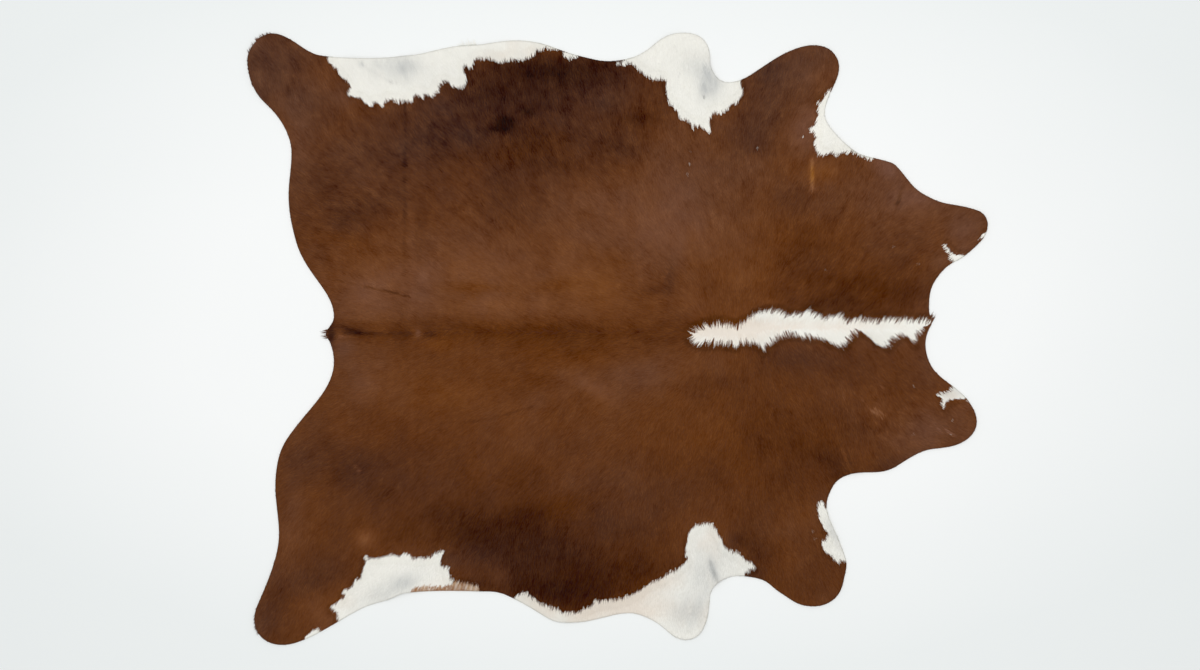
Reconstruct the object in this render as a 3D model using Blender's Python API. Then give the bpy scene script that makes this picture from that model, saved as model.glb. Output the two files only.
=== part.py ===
"""A whole cow's hide with its hair on, tanned and trimmed to be a floor rug, lying hair side up.

The hide is one piece, so it is one closed solid: the skin with the hair pressed flat on it. Its
outline is the hide's own, with two hind shanks, two elbow lobes, two fore shanks and two cheek flaps.
It lies flat on its flesh side, apart from low swells and fold marks that lift it a few millimetres.

Tables are in millimetres and degrees. +X runs from the tail to the neck, +Y to the animal's left
and +Z up from the floor, with the origin under the middle of the hide.
"""

import math

import bmesh
import bpy
from mathutils import Vector
from mathutils.geometry import delaunay_2d_cdt, interpolate_bezier, intersect_point_line

MM = 0.001

BACK_THICKNESS = 4.6  # skin and flat hair along the backbone, where a hide is thickest
EDGE_THICKNESS = 3.2  # the same out at the belly, the shanks and the cheeks
BELLY_REACH = 900.0  # from the backbone to where the hide is down to its edge thickness

OUTLINE_STEP = 16.0  # longest straight piece of the cut edge
GRID_PITCH = 50.0  # spacing of the points inside the outline
MARK_STEP = 40.0  # spacing of the rows that follow a swell or a fold mark
MARK_ROWS = (-1.0, -0.5, 0.0, 0.5, 1.0)  # where those rows lie, as shares of the mark's reach
CLEAR_OF_EDGE = 0.45  # grid points keep this share of the pitch from the cut edge
CLEAR_OF_MARK = 0.40  # and this share from the rows of a mark

# The cut edge, anticlockwise from above: a point that the edge passes and the way that it runs there.
OUTLINE = (
    # name, x, y, heading
    ("left_hind_crown", -1075, 950, 181),
    ("left_hind_corner", -1127, 921, 229),
    ("left_hind_tip", -1151, 867, 272),
    ("left_hock", -1122, 764, 302),
    ("left_gaskin", -1065, 701, 309),
    ("left_cleft", -1014, 577, 270),
    ("left_rump", -1023, 452, 269),
    ("left_seat", -999, 300, 286),
    ("left_tail_slope", -948, 202, 305),
    ("left_tail_root", -882, 66, 268),
    ("left_tail_hair", -899, 33, 236),
    ("tail_tip", -908, 13, 288),
    ("right_tail_hair", -894, -11, 290),
    ("right_tail_root", -882, -66, 272),
    ("right_tail_slope", -949, -211, 230),
    ("right_seat", -1028, -311, 236),
    ("right_rump", -1064, -442, 267),
    ("right_cleft", -1053, -602, 271),
    ("right_gaskin", -1079, -729, 251),
    ("right_hock", -1120, -829, 246),
    ("right_hind_corner", -1110, -925, 311),
    ("right_hind_crown", -1050, -952, 356),
    ("right_hind_end", -957, -928, 25),
    ("right_flank_dip", -787, -835, 25),
    ("right_flank_step", -702, -807, 24),
    ("right_flank", -659, -790, 6),
    ("right_belly_start", -397, -786, 359),
    ("right_belly_slope", -342, -799, 336),
    ("right_belly_run", -237, -857, 328),
    ("right_belly_crown", -175, -882, 358),
    ("right_belly_end", -87, -877, 10),
    ("right_elbow_dip", 35, -853, 1),
    ("right_elbow_slope", 113, -878, 333),
    ("right_elbow_crown", 211, -937, 1),
    ("right_elbow_corner", 261, -911, 57),
    ("right_elbow_side", 285, -834, 84),
    ("right_armpit_side", 289, -792, 77),
    ("right_armpit_turn", 308, -762, 42),
    ("right_armpit", 388, -738, 357),
    ("right_fore_start", 451, -750, 341),
    ("right_fore_slope", 498, -784, 326),
    ("right_fore_bump", 548, -817, 328),
    ("right_fore_crown", 615, -832, 2),
    ("right_fore_corner", 679, -804, 45),
    ("right_fore_side", 705, -744, 79),
    ("right_fore_tip", 712, -700, 93),
    ("right_fore_back", 698, -651, 111),
    ("right_neck_edge", 659, -560, 112),
    ("right_neck_narrow", 650, -520, 89),
    ("right_neck_bay", 671, -457, 60),
    ("right_neck_turn", 711, -425, 22),
    ("right_neck_shelf", 803, -415, 2),
    ("right_cheek_start", 865, -398, 31),
    ("right_cheek_dip", 978, -343, 8),
    ("right_cheek_run", 1051, -331, 18),
    ("right_cheek_tip", 1117, -257, 90),
    ("right_cheek_back", 1093, -196, 124),
    ("right_throat", 993, -107, 135),
    ("right_throat_turn", 958, -28, 97),
    ("throat_tuft_low", 970, 34, 66),
    ("throat_tuft", 979, 52, 95),
    ("throat_tuft_high", 971, 75, 106),
    ("left_throat_turn", 969, 107, 89),
    ("left_throat", 981, 169, 64),
    ("left_cheek_back", 1023, 223, 43),
    ("left_cheek_edge", 1069, 251, 33),
    ("left_cheek_front", 1129, 303, 47),
    ("left_cheek_tip", 1151, 354, 88),
    ("left_cheek_corner", 1139, 387, 130),
    ("left_cheek_run", 1098, 406, 163),
    ("left_cheek_dip", 1023, 421, 169),
    ("left_cheek_rise", 947, 453, 150),
    ("left_shoulder_top", 865, 540, 136),
    ("left_shoulder_shelf", 828, 555, 163),
    ("left_neck_start", 738, 583, 145),
    ("left_neck_bay", 668, 649, 131),
    ("left_neck_narrow", 645, 696, 95),
    ("left_fore_back", 658, 756, 68),
    ("left_fore_tip", 689, 850, 95),
    ("left_fore_corner", 667, 894, 136),
    ("left_fore_crown", 605, 913, 181),
    ("left_fore_slope", 533, 894, 203),
    ("left_fore_run", 453, 847, 213),
    ("left_armpit", 348, 798, 180),
    ("left_armpit_turn", 318, 805, 145),
    ("left_elbow_side", 292, 839, 113),
    ("left_elbow_edge", 287, 886, 93),
    ("left_elbow_corner", 261, 937, 143),
    ("left_elbow_crown", 206, 952, 180),
    ("left_elbow_slope", 146, 938, 208),
    ("left_elbow_fall", 93, 899, 216),
    ("left_belly_start", -37, 864, 178),
    ("left_belly_step", -115, 879, 168),
    ("left_belly_rise", -207, 909, 160),
    ("left_belly_crown", -317, 928, 181),
    ("left_belly_end", -427, 915, 186),
    ("left_flank_run", -517, 908, 190),
    ("left_flank_slope", -607, 887, 194),
    ("left_flank", -687, 878, 187),
    ("left_hind_fold", -897, 878, 174),
    ("left_hind_start", -947, 888, 157),
    ("left_hind_slope", -1012, 928, 149),
)

# Soft swells, where the hide doesn't quite lie down: its shanks, flaps and armpits.
SWELLS = (
    # name, x and y of one end, x and y of the other, reach, lift
    ("left_hind_shank", -1075, 790, -1110, 890, 120, 4.0),
    ("right_hind_shank", -1070, -800, -1085, -880, 120, 4.0),
    ("left_flank_buckle", -815, 850, -700, 800, 75, 6.5),
    ("left_flank_wave", -650, 800, -625, 870, 65, 4.5),
    ("right_flank_buckle", -745, -735, -670, -790, 75, 6.5),
    ("left_elbow_swell", 185, 840, 165, 920, 80, 4.0),
    ("left_armpit_buckle", 268, 745, 290, 850, 55, 7.0),
    ("right_elbow_swell", 205, -800, 235, -890, 80, 5.0),
    ("right_armpit_buckle", 286, -665, 312, -758, 50, 7.5),
    ("left_fore_shank", 570, 800, 630, 860, 110, 4.0),
    ("right_fore_shank", 610, -720, 640, -780, 110, 4.0),
    ("left_neck_swell", 655, 640, 720, 570, 60, 4.0),
    ("right_neck_swell", 665, -640, 650, -560, 60, 4.0),
    ("left_cheek_flap", 1060, 335, 1120, 350, 95, 3.5),
    ("right_cheek_flap", 1030, -260, 1085, -265, 95, 3.5),
    ("left_neck_buckle", 872, 470, 903, 400, 60, 3.5),
    ("right_neck_buckle", 700, -345, 733, -412, 60, 3.5),
    ("left_belly_wave", -420, 860, -380, 915, 80, 3.0),
    ("right_belly_wave", -190, -800, -150, -870, 80, 3.0),
)

# Fold marks, left by the way that the hide was packed: low and tented, with a line along the top.
FOLD_MARKS = (
    # name, x and y of one end, x and y of the other, reach, lift
    ("loin_fold", -657, 745, -660, -440, 32, 2.6),
    ("left_hip_fold", -862, 186, -655, 135, 26, 1.8),
    ("right_loin_fold", -490, -265, -262, -214, 26, 1.8),
)

COAT = {"Base Color": (0.125, 0.043, 0.018, 1.0), "Roughness": 0.72, "Metallic": 0.0}


def clear_scene():
    """Remove every object, so that the hide is alone."""
    for obj in list(bpy.data.objects):
        bpy.data.objects.remove(obj, do_unlink=True)


def way(heading):
    """Give the unit vector of a heading, anticlockwise from +X."""
    return Vector((math.cos(math.radians(heading)), math.sin(math.radians(heading))))


def edge_stretch(start, end):
    """Sample the cut edge from one named point up to the next, without the next.

    The handles are as long as a circle's would be, so a stretch between two headings is near an arc.
    """
    first, last = Vector(start[1:3]), Vector(end[1:3])
    chord = (last - first).length
    turn = math.radians((end[3] - start[3] + 180) % 360 - 180)
    handle = chord / (3 * math.cos(turn / 4) ** 2)
    leaving, arriving = first + way(start[3]) * handle, last - way(end[3]) * handle
    pieces = math.ceil(chord / OUTLINE_STEP)
    return interpolate_bezier(first, leaving, arriving, last, pieces + 1)[:-1]


def cut_edge():
    """Sample the whole cut edge as one closed loop."""
    points = []
    for index, start in enumerate(OUTLINE):
        points += edge_stretch(start, OUTLINE[(index + 1) % len(OUTLINE)])
    return points


def distance_to(point, x_0, y_0, x_1, y_1):
    """Give how far a point lies from a straight mark."""
    start, end = Vector((x_0, y_0)), Vector((x_1, y_1))
    foot, share = intersect_point_line(point, start, end)
    if share <= 0:
        foot = start
    elif share >= 1:
        foot = end
    return (point - Vector(foot[:2])).length


def lift_at(point):
    """Give how high the flesh side stands off the floor at a point."""
    lift = 0.0
    for _, x_0, y_0, x_1, y_1, reach, height in SWELLS:
        share = distance_to(point, x_0, y_0, x_1, y_1) / reach
        lift += height * max(0.0, 1 - share * share) ** 2
    for _, x_0, y_0, x_1, y_1, reach, height in FOLD_MARKS:
        share = distance_to(point, x_0, y_0, x_1, y_1) / reach
        lift += height * max(0.0, 1 - share) ** 1.5
    return lift


def thickness_at(point):
    """Give the hide's thickness at a point: full along the backbone, thinner towards the belly."""
    share = min(1.0, abs(point.y) / BELLY_REACH)
    return EDGE_THICKNESS + (BACK_THICKNESS - EDGE_THICKNESS) * (1 - share * share) ** 2


def inside(point, loop):
    """Tell whether a point is within a closed loop."""
    within = False
    for index, here in enumerate(loop):
        there = loop[index - 1]
        if (here.y > point.y) != (there.y > point.y):
            crossing = here.x + (point.y - here.y) * (there.x - here.x) / (there.y - here.y)
            within ^= point.x < crossing
    return within


def clear_of(point, others, gap):
    """Tell whether a point keeps a gap from all of the others."""
    return all((point - other).length >= gap for other in others)


def mark_points(loop):
    """Lay rows of points along each swell and fold mark, so that the mesh follows it."""
    points = []
    for _, x_0, y_0, x_1, y_1, reach, _ in SWELLS + FOLD_MARKS:
        start, end = Vector((x_0, y_0)), Vector((x_1, y_1))
        along = end - start
        across = Vector((-along.y, along.x)).normalized()
        steps = max(1, round(along.length / MARK_STEP))
        for step in range(steps + 1):
            for row in MARK_ROWS:
                point = start + along * (step / steps) + across * (row * reach)
                near_edge = not clear_of(point, loop, OUTLINE_STEP * 0.7)
                near_mark = not clear_of(point, points, reach * 0.3)
                if inside(point, loop) and not near_edge and not near_mark:
                    points.append(point)
    return points


def grid_points(loop, marks):
    """Fill the rest of the hide with a grid of even triangles."""
    rise = GRID_PITCH * math.sqrt(0.75)
    columns = math.ceil(max(abs(p.x) for p in loop) / GRID_PITCH) + 1
    rows = math.ceil(max(abs(p.y) for p in loop) / rise)
    points = []
    for row in range(-rows, rows + 1):
        for column in range(-columns, columns + 1):
            point = Vector(((column + 0.5 * (row % 2)) * GRID_PITCH, row * rise))
            near_mark = not clear_of(point, marks, GRID_PITCH * CLEAR_OF_MARK)
            near_edge = not clear_of(point, loop, GRID_PITCH * CLEAR_OF_EDGE)
            if not near_mark and not near_edge and inside(point, loop):
                points.append(point)
    return points


def hide_mesh():
    """Model the hide: triangles within the cut edge, thickened and lifted where it swells."""
    loop = cut_edge()
    marks = mark_points(loop)
    points = loop + marks + grid_points(loop, marks)
    rim = [(index, (index + 1) % len(loop)) for index in range(len(loop))]
    flat, _, faces, _, _, _ = delaunay_2d_cdt(points, rim, [], 1, 0.01)

    shell = bmesh.new()
    flesh = [shell.verts.new((point.x, point.y, 0.0)) for point in flat]
    for face in faces:
        shell.faces.new([flesh[index] for index in face])
    raised = bmesh.ops.extrude_face_region(shell, geom=shell.faces[:], use_keep_orig=True)
    hair = {item for item in raised["geom"] if isinstance(item, bmesh.types.BMVert)}
    for vert in shell.verts:
        point = Vector(vert.co[:2])
        height = lift_at(point) + (thickness_at(point) if vert in hair else 0.0)
        vert.co = Vector((point.x, point.y, height)) * MM
    bmesh.ops.triangulate(shell, faces=shell.faces[:])
    bmesh.ops.recalc_face_normals(shell, faces=shell.faces[:])
    mesh = bpy.data.meshes.new("hide")
    shell.to_mesh(mesh)
    shell.free()
    return mesh


def coat_material():
    """Make the plain brown of the coat."""
    material = bpy.data.materials.new("hair_coat")
    material.use_nodes = True
    shader = material.node_tree.nodes["Principled BSDF"]
    for socket, value in COAT.items():
        shader.inputs[socket].default_value = value
    return material


def build_hide():
    """Put the hide in the scene, where it lies."""
    mesh = hide_mesh()
    mesh.materials.append(coat_material())
    hide = bpy.data.objects.new("hide", mesh)
    bpy.context.scene.collection.objects.link(hide)


clear_scene()
build_hide()
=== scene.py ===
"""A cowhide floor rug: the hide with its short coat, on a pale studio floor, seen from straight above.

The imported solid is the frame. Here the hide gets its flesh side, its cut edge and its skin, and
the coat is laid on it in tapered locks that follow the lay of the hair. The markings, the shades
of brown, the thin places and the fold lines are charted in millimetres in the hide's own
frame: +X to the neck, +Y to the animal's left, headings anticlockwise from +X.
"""

import logging
import math
from dataclasses import dataclass, field, replace
from enum import Enum

import bmesh
import bpy
import numpy as np
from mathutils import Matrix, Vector
from mathutils.bvhtree import BVHTree
from mathutils.geometry import delaunay_2d_cdt
from numpy.random import Generator


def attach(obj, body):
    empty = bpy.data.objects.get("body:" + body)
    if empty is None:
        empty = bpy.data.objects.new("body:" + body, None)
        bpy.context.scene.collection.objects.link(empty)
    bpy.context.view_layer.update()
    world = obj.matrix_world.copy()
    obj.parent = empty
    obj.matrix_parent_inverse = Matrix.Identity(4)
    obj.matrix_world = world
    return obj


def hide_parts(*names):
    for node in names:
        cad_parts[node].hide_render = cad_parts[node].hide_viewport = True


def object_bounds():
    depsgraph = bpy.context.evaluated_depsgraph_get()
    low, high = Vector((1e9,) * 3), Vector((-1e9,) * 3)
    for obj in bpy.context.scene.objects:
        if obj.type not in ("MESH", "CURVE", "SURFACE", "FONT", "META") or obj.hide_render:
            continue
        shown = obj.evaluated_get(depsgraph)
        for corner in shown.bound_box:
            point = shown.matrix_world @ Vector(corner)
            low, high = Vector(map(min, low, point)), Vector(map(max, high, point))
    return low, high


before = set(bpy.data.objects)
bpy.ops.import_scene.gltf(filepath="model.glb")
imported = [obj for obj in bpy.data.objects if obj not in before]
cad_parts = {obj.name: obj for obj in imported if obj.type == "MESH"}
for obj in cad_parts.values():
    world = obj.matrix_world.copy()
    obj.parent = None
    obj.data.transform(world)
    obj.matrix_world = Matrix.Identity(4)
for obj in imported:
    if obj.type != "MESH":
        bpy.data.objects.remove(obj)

SOLID_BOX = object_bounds()
MM = 0.001
HALF = np.array((SOLID_BOX[1].x, SOLID_BOX[1].y)) / MM  # half the hide's size, seen from above
UPWARD = 0.5  # a face of the hair side has at least this much of its normal upwards
ABOVE = 0.1  # a height over all of the hide, in metres
DOWN = Vector((0.0, 0.0, -1.0))
LOG = logging.getLogger("cowhide")

Array = np.ndarray
Socket = bpy.types.NodeSocket
Pair = tuple[float, float]
Chart = tuple[Pair, ...]


class Hue(Enum):
    """The kinds of hair in the markings."""

    WHITE = "white"
    TAN = "tan"


class Layer(Enum):
    """The layers that the coat is made in: a name, and which corner of each square its roots take."""

    FIRST = ("coat_first", 0, 0)
    SECOND = ("coat_second", 1, 1)
    THIRD = ("coat_third", 1, 0)
    FOURTH = ("coat_fourth", 0, 1)


class Draw(Enum):
    """The random fields, each with the number that fixes its draw."""

    SWELLS = 5
    LAY = 11
    BORDERS = 23
    SHADE = 24
    GINGER = 25
    THIN = 26
    MOTTLE = 27
    TAN = 28


# ---------------------------------------------------------------------------------------------
# Charts, in millimetres
# ---------------------------------------------------------------------------------------------


@dataclass(frozen=True)
class Marking:
    """A patch of white or tan hair: its border, run out past the cut edge where it meets it."""

    hue: Hue
    border: Chart
    teeth: float = 3.0  # how far its locks reach over the border, and the brown's over it
    longer: float = 1.0  # its hair's length, as a share of the rest's


@dataclass(frozen=True)
class Oval:
    """A soft oval place, and how much the hair's look changes in its middle."""

    x: float
    y: float
    half_length: float
    half_width: float
    shade: float = 0.0  # from -1, nearly black, to 1, light, or how scuffed, thin, white or long
    ginger: float = 0.0  # from -1, greyer, to 1, ginger
    heading: float = 0.0


Ovals = tuple[Oval, ...]


@dataclass(frozen=True)
class Line:
    """A thin mark in the coat, from one end to the other: a scratch, or a fold line or a crease drawn in
    painted shade, some with painted light beside them.
    """

    x_0: float
    y_0: float
    x_1: float
    y_1: float
    half_width: float
    shade: float


@dataclass(frozen=True)
class Lay:
    """Which way the hair lies at a place on the left side. The right side mirrors it."""

    x: float
    y: float
    heading: float


def charted(kind: type, *rows: tuple[float, ...]) -> tuple:
    """Make ovals, lines or lays of charted rows, one of each."""
    return tuple(kind(*row) for row in rows)


MARKINGS = (
    # left flank white
    Marking(Hue.WHITE, (
        (-898, 905), (-900, 867), (-890, 853), (-869, 826), (-859, 813), (-844, 800), (-832, 783),
        (-839, 768), (-836, 758), (-818, 749), (-797, 746), (-786, 735), (-772, 726), (-758, 732),
        (-747, 733), (-733, 724), (-726, 733), (-716, 744), (-702, 744), (-687, 738), (-642, 737),
        (-629, 758), (-606, 749), (-599, 760), (-578, 751), (-568, 760), (-555, 779), (-546, 797),
        (-525, 795), (-515, 784), (-490, 781), (-476, 786), (-469, 807), (-471, 821), (-479, 839),
        (-472, 846), (-455, 841), (-448, 857), (-437, 870), (-397, 870), (-375, 863), (-350, 863),
        (-335, 869), (-297, 867), (-257, 887), (-241, 898), (-223, 901), (-188, 903), (-179, 906),
        (-179, 975), (-540, 990), (-895, 960)), 3.4),
    # left belly wedge
    Marking(Hue.WHITE, (
        (-172, 889), (-165, 877), (-152, 868), (-145, 873), (-130, 879), (-122, 885), (-126, 894),
        (-150, 899), (-166, 893)), 1.5),
    # left elbow white
    Marking(Hue.WHITE, (
        (-7, 857), (9, 853), (23, 853), (31, 858), (45, 855), (55, 845), (65, 835), (85, 820),
        (105, 810), (136, 808), (146, 804), (147, 790), (149, 766), (157, 742), (171, 722),
        (182, 706), (194, 688), (210, 680), (224, 670), (230, 662), (236, 649), (241, 662),
        (256, 660), (272, 652), (287, 642), (291, 658), (290, 674), (294, 698), (304, 703),
        (319, 703), (343, 712), (355, 728), (375, 736), (385, 754), (390, 768), (385, 786),
        (381, 798), (378, 830), (300, 1000), (130, 1010), (22, 890), (22, 866), (10, 861))),
    # left fore white
    Marking(Hue.WHITE, (
        (665, 774), (657, 769), (648, 760), (639, 744), (633, 735), (622, 743), (617, 737),
        (621, 729), (624, 723), (620, 703), (614, 664), (609, 658), (596, 659), (591, 652),
        (596, 646), (604, 643), (611, 635), (615, 624), (611, 614), (612, 602), (620, 587),
        (624, 575), (620, 567), (636, 570), (651, 572), (665, 577), (680, 570), (689, 570),
        (698, 577), (739, 577), (748, 571), (766, 568), (775, 561), (786, 559), (795, 565),
        (800, 640), (730, 790), (680, 790))),
    # left cheek white
    Marking(Hue.WHITE, (
        (1014, 291), (1018, 294), (1029, 278), (1039, 266), (1056, 261), (1073, 261), (1085, 250),
        (1070, 225), (1040, 228), (1042, 240), (1036, 248), (1033, 260), (1025, 273)), 0.4, 0.4),
    # left cheek speck
    Marking(Hue.WHITE, (
        (1126, 311), (1140, 314), (1152, 322), (1148, 331), (1138, 329), (1131, 321)), 1.5, 0.5),
    # withers stripe
    Marking(Hue.WHITE, (
        (225, 18), (255, 37), (296, 49), (332, 47), (365, 41), (387, 49), (406, 56), (425, 73),
        (458, 85), (494, 89), (511, 79), (541, 71), (574, 80), (592, 89), (612, 78), (651, 66),
        (687, 72), (717, 56), (747, 65), (777, 60), (813, 58), (832, 64), (860, 62), (893, 59),
        (1000, 58), (1000, 46), (976, 47), (958, 34), (938, 17), (916, -20), (902, 4), (876, 8),
        (854, -9), (840, -26), (805, -15), (774, 7), (750, 20), (722, 4), (698, -25), (678, -18),
        (645, -6), (618, 4), (579, 6), (535, 12), (500, 3), (469, -16), (452, -38), (434, -20),
        (417, -11), (384, -12), (370, -21), (326, -14), (260, -18), (236, -7)), 5.5, 1.5),
    # right cheek white
    Marking(Hue.WHITE, (
        (1042, -150), (1034, -160), (1016, -169), (994, -175), (1003, -181), (1010, -190),
        (1007, -203), (1013, -224), (1018, -209), (1024, -196), (1035, -188), (1042, -193),
        (1051, -187), (1064, -187), (1081, -185), (1110, -170), (1070, -120)), 1.5, 0.5),
    # right fore white
    Marking(Hue.WHITE, (
        (648, -525), (643, -520), (638, -508), (631, -513), (624, -513), (621, -525), (624, -541),
        (629, -563), (634, -573), (641, -592), (650, -602), (650, -616), (645, -626), (636, -631),
        (634, -642), (638, -653), (648, -664), (665, -675), (675, -687), (693, -698), (696, -689),
        (708, -694), (730, -682), (740, -600), (700, -530))),
    # right belly white
    Marking(Hue.WHITE, (
        (-322, -805), (-306, -795), (-281, -792), (-265, -806), (-244, -822), (-218, -831),
        (-191, -841), (-183, -838), (-162, -853), (-127, -851), (-98, -837), (-87, -834),
        (-76, -826), (-75, -814), (-66, -813), (-52, -819), (-23, -813), (9, -809), (38, -798),
        (70, -782), (80, -772), (121, -752), (143, -741), (166, -725), (181, -720), (199, -704),
        (211, -692), (219, -680), (209, -680), (211, -661), (214, -639), (218, -616), (225, -598),
        (238, -585), (252, -578), (275, -576), (290, -575), (302, -587), (313, -605), (325, -625),
        (329, -641), (345, -657), (368, -662), (383, -671), (399, -687), (420, -700), (427, -714),
        (406, -716), (413, -723), (397, -727), (397, -738), (400, -790), (310, -1000),
        (-200, -1000), (-335, -860)), 2.2),
    # right flank white
    Marking(Hue.WHITE, (
        (-871, -879), (-870, -862), (-879, -844), (-891, -839), (-891, -826), (-879, -824),
        (-862, -811), (-848, -800), (-855, -791), (-851, -780), (-828, -771), (-817, -753),
        (-799, -735), (-790, -710), (-784, -692), (-787, -678), (-766, -682), (-708, -673),
        (-693, -666), (-686, -672), (-657, -672), (-639, -679), (-617, -682), (-599, -682),
        (-581, -679), (-566, -668), (-545, -661), (-541, -666), (-546, -688), (-546, -704),
        (-528, -713), (-522, -732), (-509, -752), (-477, -756), (-441, -764), (-428, -786),
        (-427, -850), (-650, -860), (-868, -960)), 4.0),
    # right hind sliver
    Marking(Hue.WHITE, (
        (-974, -932), (-958, -915), (-947, -906), (-936, -902), (-927, -908), (-930, -945),
        (-965, -945)), 1.0, 0.5),
    # right flank tan
    Marking(Hue.TAN, (
        (-639, -780), (-624, -772), (-599, -769), (-570, -771), (-541, -768), (-523, -763),
        (-508, -753), (-490, -749), (-468, -753), (-443, -762), (-425, -784), (-425, -830),
        (-638, -830)), 4.5),
)

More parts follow.
